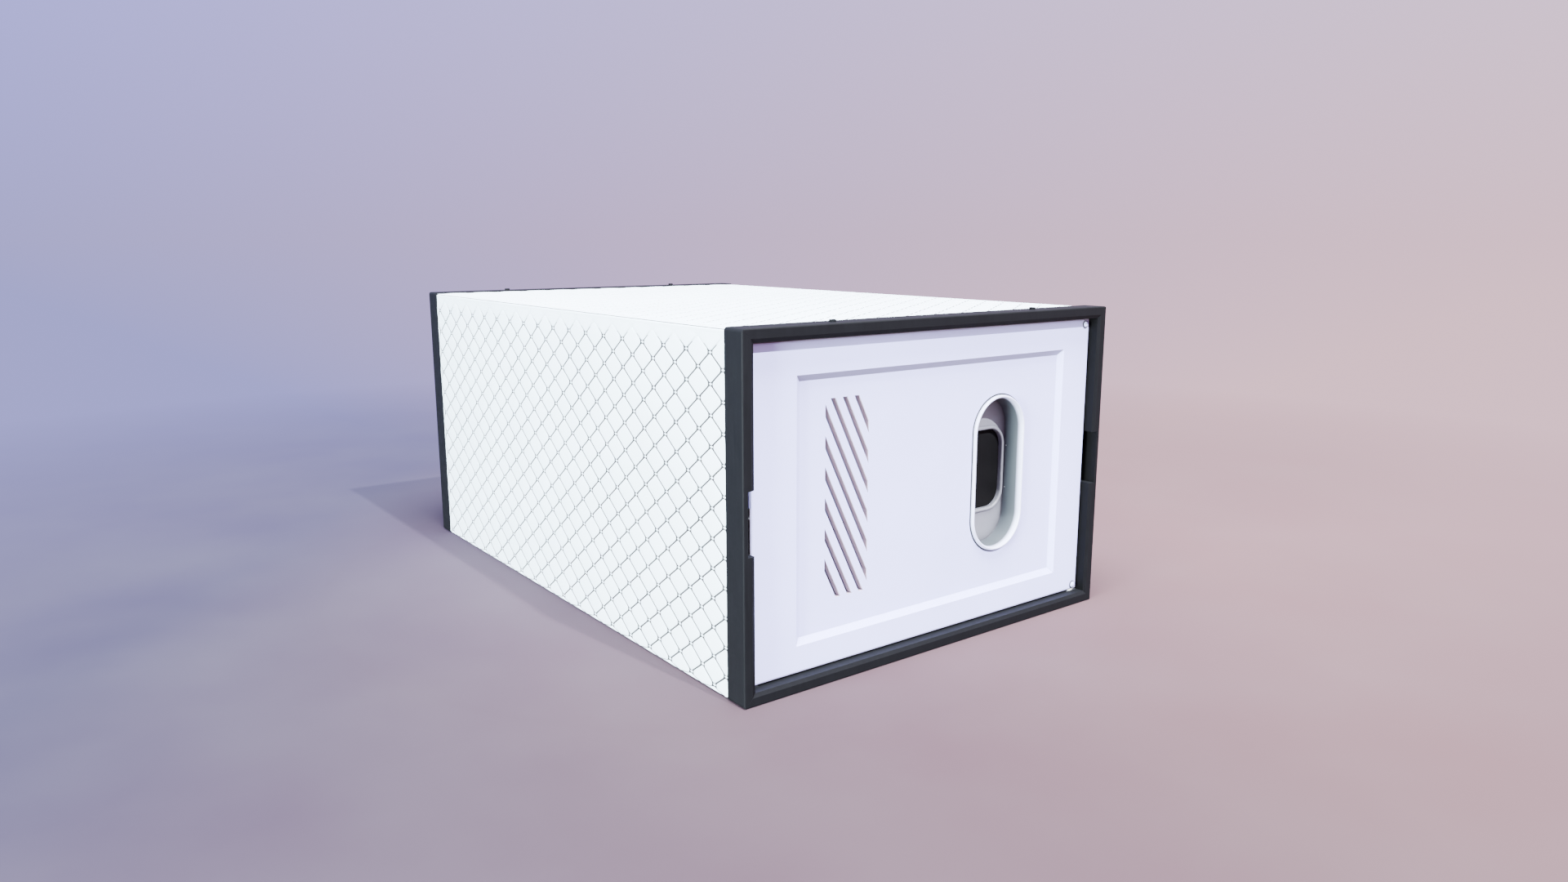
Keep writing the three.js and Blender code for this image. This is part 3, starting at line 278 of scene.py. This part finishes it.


# painted shade along narrow seams
SEAM_SHADE = (0.07, 0.065, 0.075)
# painted shade on faces that look down
UNDERSIDE_SHADE = (0.17, 0.165, 0.19)
GROOVE_SHADE = groove_shade_skin("groove_shade")
# painted light: the door skin, the port pieces and the quilted shell are one white plastic, tinted apart
# to stand in for the different light on each side
SKIN_BASE = (0.545, 0.57, 1.0)
# painted shade in the corners of the door skin
SKIN_CREVICE_SHADE = (0.34, 0.26, 0.28)
# painted shade on the cut faces of the slots
SLOT_SHADE = ((0.50, 0.42, 0.47), field_y + 0.3 * MM, door_high.y - 1 * MM)
SKIN = white_plastic("panel_skin", SKIN_BASE, SKIN_CREVICE_SHADE, 22 * MM, slots=SLOT_SHADE)
PORT_BASE = (0.62, 0.65, 0.88)
# painted shade in the corners of the port's tunnel and back plate
TUNNEL_CREVICE_SHADE = (0.055, 0.06, 0.07)
PLATE_CREVICE_SHADE = (0.045, 0.047, 0.053)
# painted shade deep in the port's tunnel and over its back plate
TUNNEL_SHADE = ((0.060, 0.072, 0.080), field_y - 1 * MM, field_y + 13 * MM)
PLATE_SHADE = ((0.17, 0.175, 0.19), field_y, field_y + 10 * MM)
TUNNEL = white_plastic("tunnel_skin", PORT_BASE, TUNNEL_CREVICE_SHADE, 30 * MM, recess_shade=TUNNEL_SHADE)
PLATE = white_plastic("plate_skin", PORT_BASE, PLATE_CREVICE_SHADE, 50 * MM, recess_shade=PLATE_SHADE)
# the quilted shell's third color is the painted shade in its corners
QUILT = white_plastic("quilted_skin", (0.80, 0.93, 1.0), (0.45, 0.50, 0.52), 4 * MM)
CHARCOAL = charcoal_plastic("charcoal", (0.0036, 0.0039, 0.0046))
CHARCOAL_STEEL = charcoal_plastic("charcoal_paint", (0.0040, 0.0043, 0.0050))
RUBBER = rubber("flap_rubber")
ZINC = metal("zinc", (0.60, 0.62, 0.65), 0.28, 0.48, (1, 1, 6))
ALUMINIUM = metal("aluminium", (0.66, 0.67, 0.69), 0.32, 0.5, (8, 0.5, 8))
NYLON = nylon("nylon")

FINISHES = {
    "charcoal_plastic": CHARCOAL,
    "charcoal_steel": CHARCOAL_STEEL,
    "white_plastic": SKIN,
    "zinc_steel": ZINC,
    "matt_aluminium": ALUMINIUM,
    "natural_nylon": NYLON,
    "black_rubber": RUBBER,
}


# ---------------------------------------------------------------- dressing the CAD nodes


SHARP_WIDTHS = {"feed_flap": 1.2 * MM, "door_panel": 0.8 * MM, "rear_panel": 0.8 * MM}
for end in ("front", "rear"):
    for member in ("left_post", "right_post", "top_rail", "bottom_rail"):
        SHARP_WIDTHS[f"{end}_{member}"] = 1.2 * MM
MOULDED = ("door_panel", "rear_panel")


def add_bevel(node, width, segments, above_deg):
    bevel = node.modifiers.new("edge", "BEVEL")
    bevel.width = width
    bevel.segments = segments
    bevel.limit_method = "ANGLE"
    bevel.angle_limit = math.radians(above_deg)
    bevel.use_clamp_overlap = True


def flatten_normals(obj):
    normals = obj.modifiers.new("normals", "WEIGHTED_NORMAL")
    normals.keep_sharp = True
    normals.weight = 100


def dress_cad_nodes():
    slots = {s["node"]: s["material_slot"] for s in frame["record"]["subparts"]}
    for name, node in frame["nodes"].items():
        node.data.materials.clear()
        node.data.materials.append(FINISHES[slots[name]])
        merge = node.modifiers.new("merge", "DECIMATE")
        merge.decimate_type = "DISSOLVE"
        merge.angle_limit = math.radians(0.5)
        add_bevel(node, SHARP_WIDTHS.get(name, 0.6 * MM), 3, 40)
        if name in MOULDED:
            add_bevel(node, 4.5 * MM, 5, 33)
        node.data.polygons.foreach_set("use_smooth", [True] * len(node.data.polygons))
        flatten_normals(node)


# ---------------------------------------------------------------- mesh helpers


def shade_faces(obj, material, chosen):
    """Gives the material to the faces that the chosen test picks."""
    mesh = obj.data
    mesh.materials.append(material)
    for face in mesh.polygons:
        if chosen(face):
            face.material_index = 1


def make_object(name, vertices, faces, material, body, replaced=(), smooth_angle=30):
    mesh = bpy.data.meshes.new(name)
    mesh.from_pydata(vertices, [], faces)
    mesh.materials.append(material)
    mesh.validate()
    bm = bmesh.new()
    bm.from_mesh(mesh)
    bmesh.ops.remove_doubles(bm, verts=bm.verts, dist=0.01 * MM)
    bmesh.ops.recalc_face_normals(bm, faces=bm.faces)
    bm.to_mesh(mesh)
    bm.free()
    obj = bpy.data.objects.new(name, mesh)
    bpy.context.scene.collection.objects.link(obj)
    mesh.shade_smooth()
    mesh.set_sharp_from_angle(angle=math.radians(smooth_angle))
    flatten_normals(obj)
    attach(obj, body)
    if replaced:
        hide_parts(*replaced)
    return obj


# ---------------------------------------------------------------- quilted shell

CELL_ACROSS = 128 * MM
CELL_UP = 91.2 * MM
GROOVE_HALF = 1.4 * MM
GROOVE_FLOOR = -1.8 * MM
CORNER_ROUND = 12 * MM
EAVE_ROUND = 8 * MM
# depths over the flat sheet between which faces take the painted groove shade
GROOVE_MARK = -1.2 * MM
GROOVE_LIMIT = -4 * MM
CORNER_STEPS = 5
CUSHION_TOP = 1.7 * MM
# low pad where four cushions meet
PAD_FOOT = -2.0 * MM
PAD_TOP = -0.3 * MM
PAD_REACH = 9.5 * MM
PAD_RISE = 5.0 * MM
PAD_TOP_SHARE = 0.55
# how far each ring of a cushion lies in from its outline, and its height over the flat sheet
CUSHION_RINGS = (
    (0.0, -2.1 * MM),
    (1.1 * MM, -0.6 * MM),
    (2.2 * MM, 0.1 * MM),
    (4.0 * MM, 0.7 * MM),
    (10.0 * MM, 1.15 * MM),
    (22.0 * MM, 1.5 * MM),
)


def cushion_outline(inset):
    """Diamond with rounded corners, set in from the cell's edges, as offsets from its centre."""
    half_a, half_b = CELL_ACROSS / 2, CELL_UP / 2
    length = math.hypot(half_a, half_b)
    shrink = 1 - (GROOVE_HALF + inset) * length / (half_a * half_b)
    a, b = half_a * shrink, half_b * shrink
    corners = [Vector((a, 0)), Vector((0, b)), Vector((-a, 0)), Vector((0, -b))]
    radius = max(CORNER_ROUND - inset * 0.6, 2 * MM)
    points = []
    for i, corner in enumerate(corners):
        before = (corners[i - 1] - corner).normalized()
        after = (corners[(i + 1) % 4] - corner).normalized()
        half_angle = before.angle(after) / 2
        middle = (before + after).normalized()
        centre = corner + middle * (radius / math.sin(half_angle))
        start = (corner + before * (radius / math.tan(half_angle))) - centre
        finish = (corner + after * (radius / math.tan(half_angle))) - centre
        turn = start.angle_signed(finish)
        for k in range(CORNER_STEPS + 1):
            angle = -turn * k / CORNER_STEPS
            points.append(centre + Vector((
                start.x * math.cos(angle) - start.y * math.sin(angle),
                start.x * math.sin(angle) + start.y * math.cos(angle),
            )))
    return points


def eased(share):
    """0 to 1 with a level start and finish."""
    share = min(max(share, 0), 1)
    return share * share * (3 - 2 * share)


def quilt_faces(low, high, origin, fade, place):
    """Cushions over the rectangle low..high, flattened over the last fade of it.

    place(a, b, height) gives a vertex in the CAD frame.
    """
    outlines = [cushion_outline(inset) for inset, _ in CUSHION_RINGS]
    size = len(outlines[0])
    vertices, faces = [], []

    def relief(b):
        return eased((high[1] - b) / fade) if fade else 1.0

    def clamp(value, axis):
        return min(max(value, low[axis]), high[axis])

    first_a = math.floor((low[0] - origin[0]) / (CELL_ACROSS / 2)) - 1
    last_a = math.ceil((high[0] - origin[0]) / (CELL_ACROSS / 2)) + 1
    first_b = math.floor((low[1] - origin[1]) / (CELL_UP / 2)) - 1
    last_b = math.ceil((high[1] - origin[1]) / (CELL_UP / 2)) + 1
    for i in range(first_a, last_a + 1):
        for j in range(first_b, last_b + 1):
            if (i + j) % 2:
                continue
            centre = (origin[0] + i * CELL_ACROSS / 2, origin[1] + j * CELL_UP / 2)
            outside_a = centre[0] + CELL_ACROSS / 2 < low[0] or centre[0] - CELL_ACROSS / 2 > high[0]
            outside_b = centre[1] + CELL_UP / 2 < low[1] or centre[1] - CELL_UP / 2 > high[1]
            if outside_a or outside_b:
                continue
            start = len(vertices)
            for outline, (_, height) in zip(outlines, CUSHION_RINGS):
                for p in outline:
                    a, b = clamp(centre[0] + p.x, 0), clamp(centre[1] + p.y, 1)
                    vertices.append(place(a, b, height * relief(b)))
            middle = len(vertices)
            a, b = clamp(centre[0], 0), clamp(centre[1], 1)
            vertices.append(place(a, b, CUSHION_TOP * relief(b)))
            pad = len(vertices)
            tip_a = centre[0] + CELL_ACROSS / 2
            if low[0] < tip_a < high[0]:
                corners = ((PAD_REACH, 0), (0, PAD_RISE), (-PAD_REACH, 0), (0, -PAD_RISE))
                for da, db in corners:
                    a, b = clamp(tip_a + da, 0), clamp(centre[1] + db, 1)
                    vertices.append(place(a, b, PAD_FOOT * relief(b)))
                for da, db in corners:
                    a, b = clamp(tip_a + da * PAD_TOP_SHARE, 0), clamp(centre[1] + db * PAD_TOP_SHARE, 1)
                    vertices.append(place(a, b, PAD_TOP * relief(b)))
                faces.append((pad + 4, pad + 5, pad + 6, pad + 7))
                for k in range(4):
                    m = (k + 1) % 4
                    faces.append((pad + k, pad + m, pad + 4 + m, pad + 4 + k))
            rings = len(outlines)
            for r in range(rings - 1):
                for k in range(size):
                    m = (k + 1) % size
                    faces.append((
                        start + r * size + k,
                        start + r * size + m,
                        start + (r + 1) * size + m,
                        start + (r + 1) * size + k,
                    ))
            last = start + (rings - 1) * size
            for k in range(size):
                faces.append((last + k, last + (k + 1) % size, middle))
    return vertices, faces


def extruded(section, start, finish, to_vertex):
    """A closed section carried along Y. section holds (x, z) pairs."""
    count = len(section)
    vertices = [to_vertex(x, start, z) for x, z in section]
    vertices += [to_vertex(x, finish, z) for x, z in section]
    faces = [(k, (k + 1) % count, count + (k + 1) % count, count + k) for k in range(count)]
    faces.append(tuple(range(count)))
    faces.append(tuple(range(2 * count - 1, count - 1, -1)))
    return vertices, faces


def joined(*parts):
    vertices, faces = [], []
    for part_vertices, part_faces in parts:
        start = len(vertices)
        vertices += part_vertices
        faces += [tuple(start + k for k in face) for face in part_faces]
    return vertices, faces


FADE = 34 * MM
PLAIN_EDGE = 6 * MM
EAVE_STEPS = 4
QUILT_SMOOTH_DEG = 50
# middle of one of the left wall's cushions, along Y and Z
LEFT_QUILT_ORIGIN = (-1.125, 0.977 + CELL_UP / 2)
open_start = post_high.y
open_end = -post_high.y


def eave_arc(outer_x, top_z, from_deg, to_deg, sign):
    """Points of the rounded eave between two angles, 180 being the outside and 90 the top."""
    centre = (outer_x + sign * EAVE_ROUND, top_z - EAVE_ROUND)
    points = []
    for k in range(EAVE_STEPS + 1):
        angle = math.radians(from_deg + (to_deg - from_deg) * k / EAVE_STEPS)
        points.append((
            centre[0] + sign * EAVE_ROUND * math.cos(angle),
            centre[1] + EAVE_ROUND * math.sin(angle),
        ))
    return points


def build_wall(side):
    """side is -1 for the left wall and 1 for the right."""
    outer, inner = side * -wall_low.x, side * -wall_high.x
    foot, top = wall_low.z, roof_high.z
    floor_x = outer + side * GROOVE_FLOOR
    plain = top - EAVE_ROUND - PLAIN_EDGE
    section = [(floor_x, foot), (floor_x, plain - FADE), (outer, plain)]
    section += eave_arc(outer, top, 180, 135, -side)
    section += [(inner, top - abs(outer - inner)), (inner, foot)]
    slab = extruded(section, wall_low.y, wall_high.y, lambda x, y, z: (x, y, z))
    origin = (-side * LEFT_QUILT_ORIGIN[0], LEFT_QUILT_ORIGIN[1])

    def place(a, b, height):
        return (outer + side * height, a, b)

    cushions = quilt_faces((open_start, foot), (open_end, plain), origin, FADE, place)
    vertices, faces = joined(slab, cushions)
    name = "left_wall" if side < 0 else "right_wall"
    obj = make_object(
        name + "_quilted", vertices, faces, QUILT, "hutch", [name], QUILT_SMOOTH_DEG
    )
    # painted shade in the grooves between the cushions
    shade_faces(obj, GROOVE_SHADE, lambda face: GROOVE_MARK > side * (face.center.x - outer) > GROOVE_LIMIT)


def build_roof():
    top, under = roof_high.z, roof_low.z
    outer = roof_high.x
    thickness = top - under
    floor_z = top + GROOVE_FLOOR
    plain = outer - EAVE_ROUND - PLAIN_EDGE
    right = [(plain - FADE, floor_z), (plain, top)]
    right += eave_arc(outer, top, 90, 135, -1)
    right += [(outer - thickness, under)]
    left = [(-x, z) for x, z in reversed(right)]
    slab = extruded(left + right, roof_low.y, roof_high.y, lambda x, y, z: (x, y, z))

    def place(a, b, height):
        return (a, b, top + height)

    raised, cushion_faces = quilt_faces((-plain, open_start), (plain, open_end), (0, 0), 0, place)
    # the relief dies out towards both eaves
    faded = [(x, y, top + (z - top) * eased((plain - abs(x)) / FADE)) for x, y, z in raised]
    vertices, faces = joined(slab, (faded, cushion_faces))
    obj = make_object(
        "roof_panel_quilted",
        vertices,
        faces,
        QUILT,
        "hutch",
        ["roof_panel"],
        QUILT_SMOOTH_DEG,
    )
    # painted shade in the grooves between the cushions
    shade_faces(obj, GROOVE_SHADE, lambda face: GROOVE_MARK > face.center.z - top > GROOVE_LIMIT)


# ---------------------------------------------------------------- feed port

RIM_WIDTH = 18 * MM
TUBE_WALL = 5 * MM
SEAM_WIDTH = 4.5 * MM
FLARE = 2.0 * MM
bore_round = (collar_high.x - collar_low.x) / 2 - RIM_WIDTH
# half width, half height and corner round
BORE = (bore_round, (collar_high.z - collar_low.z) / 2 - RIM_WIDTH, bore_round)
MOUTH = (97 * MM, 140 * MM, 62 * MM)
MOUTH_RING = 12 * MM
BEAD_HEIGHT = 11 * MM
MOUTH_BEAD_HEIGHT = 6 * MM
ARC_STEPS = 20
SIDE_STEPS = 6
PORT_SMOOTH_DEG = 45


def grown(size, by):
    return tuple(value + by for value in size)


def port_loop(half_width, half_height, corner, y):
    """An upright outline with rounded corners, round the port's middle."""
    across, up = half_width - corner, half_height - corner
    points = []
    for quarter, (x, z) in enumerate(((across, up), (-across, up), (-across, -up), (across, -up))):
        for k in range(ARC_STEPS + 1):
            angle = math.pi / 2 * (quarter + k / ARC_STEPS)
            points.append((x + corner * math.cos(angle), z + corner * math.sin(angle)))
        last = points[-1]
        step = ((-2 * across, 0), (0, -2 * up), (2 * across, 0), (0, 2 * up))[quarter]
        for k in range(1, SIDE_STEPS):
            points.append((last[0] + step[0] * k / SIDE_STEPS, last[1] + step[1] * k / SIDE_STEPS))
    return [(port_centre[0] + x, y, port_centre[1] + z) for x, z in points]


def swept(loops):
    """Closed skin through port outlines, each (half width, half height, corner, y)."""
    rings = [port_loop(*loop) for loop in loops]
    size = len(rings[0])
    vertices = [p for ring in rings for p in ring]
    faces = []
    for r in range(len(rings)):
        s = (r + 1) % len(rings)
        for k in range(size):
            m = (k + 1) % size
            faces.append((r * size + k, r * size + m, s * size + m, s * size + k))
    return vertices, faces


def bead(size, width, height, base_y, steps=14):
    """Half-round bead outside the opening size, standing forward of base_y."""
    loops = []
    for k in range(steps + 1):
        angle = math.pi * k / steps
        out = width / 2 - width / 2 * math.cos(angle)
        forward = height * math.sin(angle) ** 0.85 if 0 < k < steps else 0
        loops.append((*grown(size, out), base_y - forward))
    return loops


def port_reach(point):
    """How far a point stands from the middle of the bore's nearer round end, or from its upright axis."""
    across = point.x - port_centre[0]
    straight = BORE[1] - BORE[2]
    up = max(abs(point.z - port_centre[1]) - straight, 0)
    return math.hypot(across, up)


def build_collar():
    loops = [(*BORE, collar_high.y)]
    loops += bead(grown(BORE, FLARE), RIM_WIDTH - SEAM_WIDTH - FLARE, BEAD_HEIGHT, field_y - 1 * MM)
    loops.append((*grown(BORE, RIM_WIDTH), field_y - 0.6 * MM))
    loops += [(*grown(BORE, TUBE_WALL), field_y), (*grown(BORE, TUBE_WALL), collar_high.y)]
    vertices, faces = swept(loops)
    obj = make_object(
        "feed_collar_moulded",
        vertices,
        faces,
        TUNNEL,
        "door",
        ["feed_collar"],
        PORT_SMOOTH_DEG,
    )
    # painted shade: the seam where the bead meets the door is dark
    limit = BORE[0] + RIM_WIDTH - SEAM_WIDTH
    shade_faces(obj, GROOVE_SHADE, lambda face: port_reach(face.center) > limit)


PLATE_GAP = 0.3 * MM
PLATE_THICKNESS = 6 * MM
SEAT_STAND_OUT = 6.4 * MM
SEAT_WIDTH = 6 * MM
SKIRT_WALL = 5 * MM
EAR_GAP = 2 * MM
EAR_THICKNESS = 6 * MM
EAR_ROUND = 13 * MM
EAR_ROOT = 1 * MM
EAR_MIDDLE_AHEAD_OF_PIN = 5.5 * MM
EAR_STEPS = 12


def ear(side, rear_y):
    """One of the two ears that hold the flap's pin: side is -1 for the left and 1 for the right."""
    hole_y = (pin_low.y + pin_high.y) / 2
    hole_z = (pin_low.z + pin_high.z) / 2
    x0 = port_centre[0] + side * (flap_high.x - port_centre[0] + EAR_GAP)
    x1 = x0 + side * EAR_THICKNESS
    outline = [(rear_y - EAR_ROOT, hole_z - EAR_ROUND), (rear_y - EAR_ROOT, hole_z + EAR_ROUND)]
    for k in range(EAR_STEPS + 1):
        angle = math.pi / 2 - math.pi * k / EAR_STEPS
        y = hole_y - EAR_MIDDLE_AHEAD_OF_PIN + EAR_ROUND * math.cos(angle)
        outline.append((min(y, plate_high.y), hole_z + EAR_ROUND * math.sin(angle)))
    count = len(outline)
    vertices = [(x0, y, z) for y, z in outline] + [(x1, y, z) for y, z in outline]
    faces = [(k, (k + 1) % count, count + (k + 1) % count, count + k) for k in range(count)]
    faces += [tuple(range(count)), tuple(range(2 * count - 1, count - 1, -1))]
    return vertices, faces


def build_back_plate():
    face_y = collar_high.y + PLATE_GAP
    rear_y = face_y + PLATE_THICKNESS
    seat_y = rear_y + SEAT_STAND_OUT
    skirt_y = plate_low.y
    skirt_in = grown(BORE, TUBE_WALL + PLATE_GAP)
    skirt_out = grown(skirt_in, SKIRT_WALL)
    seat_out = grown(MOUTH, SEAT_WIDTH)
    ring_y = face_y + 0.01 * MM
    loops = [(*MOUTH, seat_y)]
    loops += bead(MOUTH, MOUTH_RING, MOUTH_BEAD_HEIGHT, ring_y)
    loops += [
        (*skirt_in, face_y),
        (*skirt_in, skirt_y),
        (*skirt_out, skirt_y),
        (*skirt_out, rear_y),
        (*seat_out, rear_y),
        (*seat_out, seat_y),
    ]
    vertices, faces = joined(swept(loops), ear(-1, rear_y), ear(1, rear_y))
    make_object(
        "feed_back_plate_moulded",
        vertices,
        faces,
        PLATE,
        "door",
        ["feed_back_plate"],
        PORT_SMOOTH_DEG,
    )


# ---------------------------------------------------------------- round caps


CAP_FOOT = 2.6 * MM
CAP_HEIGHT = 9 * MM
CAP_EDGE = 0.3 * MM
CAP_SHANK = 4 * MM
CAP_STEPS = 10
CAP_SIDES = 48
CAP_SMOOTH_DEG = 40


def build_cap(node):
    """A smooth domed cap with painted shade on its foot, and its shank, in the place of a CAD bolt."""
    low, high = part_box(node)
    centre_x, centre_z = (low.x + high.x) / 2, (low.z + high.z) / 2
    faces_front = low.y + high.y < 0
    outside, far = (low.y, high.y) if faces_front else (high.y, low.y)
    inward = 1 if faces_front else -1
    radius = (high.x - low.x) / 2
    profile = [(0.0, 0.0)]
    for k in range(1, CAP_STEPS + 1):
        angle = math.pi / 2 * k / CAP_STEPS
        depth = (CAP_HEIGHT - CAP_FOOT) * (1 - math.cos(angle))
        profile.append(((radius - CAP_FOOT) * math.sin(angle), depth))
    profile += [(radius, CAP_HEIGHT - CAP_FOOT + CAP_EDGE), (radius, CAP_HEIGHT), (CAP_SHANK, CAP_HEIGHT)]
    profile += [(CAP_SHANK, abs(far - outside)), (0.0, abs(far - outside))]
    vertices, faces = [], []
    for r, depth in profile:
        for k in range(CAP_SIDES):
            angle = 2 * math.pi * k / CAP_SIDES
            x = centre_x + r * math.cos(angle)
            z = centre_z + r * math.sin(angle)
            vertices.append((x, outside + inward * depth, z))
    for ring in range(len(profile) - 1):
        this, after = ring * CAP_SIDES, (ring + 1) * CAP_SIDES
        for k in range(CAP_SIDES):
            m = (k + 1) % CAP_SIDES
            faces.append((this + k, this + m, after + m, after + k))
    body = "door" if node.endswith("hinge_bolt") else "hutch"
    obj = make_object(node + "_domed", vertices, faces, SKIN, body, [node], CAP_SMOOTH_DEG)
    foot = outside + inward * (CAP_HEIGHT - CAP_FOOT)
    # painted shade on the cap's foot
    shade_faces(obj, GROOVE_SHADE, lambda face: (face.center.y - foot) * inward > 0)


# ---------------------------------------------------------------- stage, light and camera

SKY_STRENGTH = 1.0
FLOOR_SIZE = 400
FLOOR_COOL = (0.024, 0.0205, 0.038)
FLOOR_WARM = (0.105, 0.058, 0.062)
BACKDROP_RIGHT = Vector((0.797, -0.604, 0.0))
BACKDROP_AWAY = Vector((0.604, 0.797, 0.0))
COOL_LOW = (0.45, 0.44, 1.02)
COOL_HIGH = (0.52, 0.52, 1.42)
WARM_LOW = (1.32, 0.84, 0.98)
WARM_HIGH = (1.30, 0.95, 1.25)


def side_tint(f, place, reach, cool, warm):
    """Cool on the left of the backdrop and warm on the right, from a vector in the CAD frame."""
    across = f.add("ShaderNodeVectorMath", operation="DOT_PRODUCT")
    f.link(place, across.inputs[0])
    across.inputs[1].default_value = BACKDROP_RIGHT
    return f.mix(f.spread(across.outputs["Value"], -reach, reach), cool, warm)


def backdrop_color(f, direction):
    """The backdrop's glow in a direction: the low colors near the horizon, the high ones above."""
    low = side_tint(f, direction, 0.65, COOL_LOW, WARM_LOW)
    high = side_tint(f, direction, 0.65, COOL_HIGH, WARM_HIGH)
    return f.mix(f.spread(f.axis(direction, "Z"), 0.0, 0.2), low, high)


class Sky(Finish):
    """The world's node tree, built with the same helpers as a material."""

    def __init__(self, world):
        self.tree = world.node_tree
        self.coords = self.add("ShaderNodeTexCoord").outputs["Generated"]


def build_stage():
    f = Finish("studio_floor")
    mottle = f.noise(1.2, 5, 0.5)
    tint = side_tint(f, f.coords, 2.0, FLOOR_COOL, FLOOR_WARM)
    # painted shade: the floor is darker towards the front left
    near = f.add("ShaderNodeVectorMath", operation="DOT_PRODUCT")
    f.link(f.coords, near.inputs[0])
    near.inputs[1].default_value = BACKDROP_AWAY
    tint = f.mix(f.spread(near.outputs["Value"], -2.6, 0.4, 0.42, 1.0), (0, 0, 0), tint)
    color = f.mix(f.spread(mottle, 0.3, 0.7, 0.0, 0.05), tint, (0.2, 0.2, 0.2))
    f.bumps((f.noise(300, 3, 0.5), 0.1, 0.1 * MM))
    material = f.finish(color, 0.9)
    f.shader.inputs["Specular IOR Level"].default_value = 0.1
    # painted light: the floor glows with the backdrop's colour, in full far off so no horizon shows, and
    # faintly near the hutch, which lightens its shadow
    away = f.add("ShaderNodeVectorMath", operation="LENGTH")
    f.link(f.coords, away.inputs[0])
    outward = f.add("ShaderNodeVectorMath", operation="NORMALIZE")
    f.link(f.coords, outward.inputs[0])
    glow = f.add("ShaderNodeEmission")
    f.link(backdrop_color(f, outward.outputs["Vector"]), glow.inputs["Color"])
    glow.inputs["Strength"].default_value = SKY_STRENGTH
    blend = f.add("ShaderNodeMixShader")
    f.link(f.spread(away.outputs["Value"], 1.6, 6.5, 0.035, 1.0), blend.inputs[0])
    f.link(f.shader.outputs[0], blend.inputs[1])
    f.link(glow.outputs[0], blend.inputs[2])
    output = next(n for n in f.tree.nodes if n.type == "OUTPUT_MATERIAL")
    f.link(blend.outputs[0], output.inputs["Surface"])
    mesh = bpy.data.meshes.new("floor")
    corners = [(x * FLOOR_SIZE, y * FLOOR_SIZE, 0) for x, y in ((-1, -1), (1, -1), (1, 1), (-1, 1))]
    mesh.from_pydata(corners, [], [(0, 1, 2, 3)])
    mesh.materials.append(material)
    floor = bpy.data.objects.new("floor", mesh)
    bpy.context.scene.collection.objects.link(floor)


def add_area(name, place, target, size, power, color):
    light = bpy.data.lights.new(name, "AREA")
    light.shape = "DISK"
    light.size = size
    light.energy = power
    light.color = color
    obj = bpy.data.objects.new(name, light)
    bpy.context.scene.collection.objects.link(obj)
    obj.location = place
    obj.rotation_euler = (Vector(target) - Vector(place)).to_track_quat("-Z", "Y").to_euler()


def add_sun(name, travel, strength, angle_deg, color):
    light = bpy.data.lights.new(name, "SUN")
    light.energy = strength
    light.angle = math.radians(angle_deg)
    light.color = color
    obj = bpy.data.objects.new(name, light)
    bpy.context.scene.collection.objects.link(obj)
    obj.location = (0, 0, 6)
    obj.rotation_euler = Vector(travel).to_track_quat("-Z", "Y").to_euler()


def build_light():
    world = bpy.data.worlds.new("studio")
    bpy.context.scene.world = world
    world.use_nodes = True
    sky = Sky(world)
    background = world.node_tree.nodes["Background"]
    sky.link(backdrop_color(sky, sky.coords), background.inputs["Color"])
    background.inputs["Strength"].default_value = SKY_STRENGTH
    add_sun("key", (-0.115, 0.996, -1.0), 15.3, 1.2, (0.86, 0.88, 1.0))
    add_area("left_fill", (-11.0, -3.0, 1.6), (0, 0, 0.6), 4.0, 9500, (0.86, 0.97, 1.0))
    add_area("top_fill", (-1.2, -2.5, 9.0), (0, 0, 0.5), 4.0, 6800, (0.93, 0.97, 1.0))


def build_camera():
    camera = bpy.data.cameras.new("camera")
    camera.lens = 24.44
    camera.sensor_width = 36
    obj = bpy.data.objects.new("camera", camera)
    bpy.context.scene.collection.objects.link(obj)
    obj.location = (-2.44077, -3.58567, 1.34365)
    forward = Vector((0.59338, 0.78258, -0.18835))
    obj.rotation_euler = forward.to_track_quat("-Z", "Y").to_euler()
    bpy.context.scene.camera = obj


dress_cad_nodes()
build_wall(-1)
build_wall(1)
build_roof()
build_collar()
build_back_plate()
for cap in ("upper_hinge_bolt", "lower_hinge_bolt", *(f"rear_panel_bolt_{i}" for i in range(1, 5))):
    build_cap(cap)
build_stage()
build_light()
build_camera()
